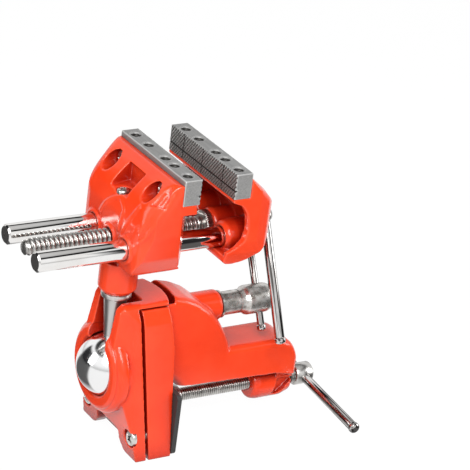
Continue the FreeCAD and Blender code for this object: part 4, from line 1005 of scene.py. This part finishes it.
def pale_floor():
    """It glows white where it is seen, and shows the screens in reflections only."""
    f = Finish("pale_floor", roughness=0.9)
    f.set(Base_Color=f.mix(f.noise(3, 2) * 0.2, (0.62, 0.62, 0.62), (0.6, 0.6, 0.6)))
    glossy = rays(f, "Glossy")
    seen = rays(f, "Camera").most(glossy).most(rays(f, "Transmission"))
    beyond = f.distance((0.03, 0.0, -0.02)).step(0.07, 0.1)
    tone = f.mix(screens(f, f.place) * beyond * glossy, (1, 1, 1), (0.05, 0.05, 0.05))
    brightness, share = 1.08, 0.9
    glow = f.add("ShaderNodeEmission", {}, tone, brightness)
    both = f.add("ShaderNodeMixShader", {}, seen * share,
                 Wire(f, f.shader.outputs[0]), Wire(f, glow.outputs[0]))
    f.feed(f.tree.nodes["Material Output"].inputs[0], Wire(f, both.outputs[0]))
    return f.material


def floor():
    size, height = 3.0, -0.0206
    corners = [(-size, -size, height), (size, -size, height), (size, size, height), (-size, size, height)]
    new_piece("studio_floor", corners, [(0, 1, 2, 3)], pale_floor())


def sky():
    """White where it is seen; in reflections it has bright and dark bands and the screens."""
    world = bpy.data.worlds.new("studio")
    bpy.context.scene.world = world
    world.use_nodes = True
    f = Nodes(world.node_tree)
    toward = f.output("ShaderNodeTexCoord", "Generated")
    height = f.part_of("Z", toward)
    bands = [(0.0, 0.55), (0.15, 0.85), (0.25, 1.0), (0.68, 1.0),
             (0.73, 0.01), (0.84, 0.01), (0.9, 0.55), (1.0, 0.7)]
    ramp = f.add("ShaderNodeValToRGB", {"stops": bands}, height)
    low_screens = screens(f, toward) * (1 - height.step(0.5, 0.6))
    tone = f.mix(low_screens, Wire(f, ramp.outputs[0]), (0.02, 0.02, 0.022))
    seen = rays(f, "Camera").most(rays(f, "Transmission"))
    as_light, more_in_reflections, more_in_view = 0.36, 0.7, 0.72
    strength = as_light + rays(f, "Glossy") * more_in_reflections + seen * more_in_view
    back = f.tree.nodes["Background"]
    f.feed(back.inputs["Color"], f.mix(seen, tone, (1, 1, 1)))
    f.feed(back.inputs["Strength"], strength)


def lamps():
    """Soft boxes that face the middle of the vise: place, width and height in m, power in W."""
    aim = Vector((0, 0, 0.06))
    for name, at, width, height, power in (
        ("key_softbox", (-0.35, -0.55, 0.65), 0.5, 0.5, 7.8),
        ("side_softbox", (0.75, -0.35, 0.30), 0.35, 0.5, 3.1),
        ("left_softbox", (-0.75, 0.1, 0.35), 0.3, 0.5, 1.7),
    ):
        lamp = bpy.data.lights.new(name, "AREA")
        lamp.shape, lamp.size, lamp.size_y, lamp.energy = "RECTANGLE", width, height, power
        holder = add_object(name, lamp)
        holder.location = at
        holder.rotation_euler = (aim - Vector(at)).to_track_quat("-Z", "Y").to_euler()


def camera():
    """A long lens above the vise, on its -X and -Y side."""
    lens = bpy.data.cameras.new("camera")
    lens.sensor_width, lens.lens = 36, 191.49
    lens.clip_start, lens.clip_end = 0.1, 20
    right, up = Vector((0.8499, -0.5125, 0.1224)), Vector((0.1213, 0.4163, 0.9011))
    turn = Matrix((right, up, right.cross(up))).transposed().to_4x4()
    holder = add_object("camera", lens)
    holder.matrix_world = Matrix.Translation((-0.7116, -1.1065, 0.7159)) @ turn
    bpy.context.scene.camera = holder
    bpy.context.scene.view_settings.view_transform = "Standard"


# The vise and its stage -----------------------------------------------------

dress_solids()

base_casting()
cover_casting()
fixed_jaw_casting()
movable_jaw_casting()

lead_screw()
clamp_screw()
guide_rods()
sliding_bars()
ball_and_neck()
lock_knob()
thrust_collar()
cross_screws()
jaw_plates()

floor()
sky()
lamps()
camera()

bpy.context.view_layer.update()
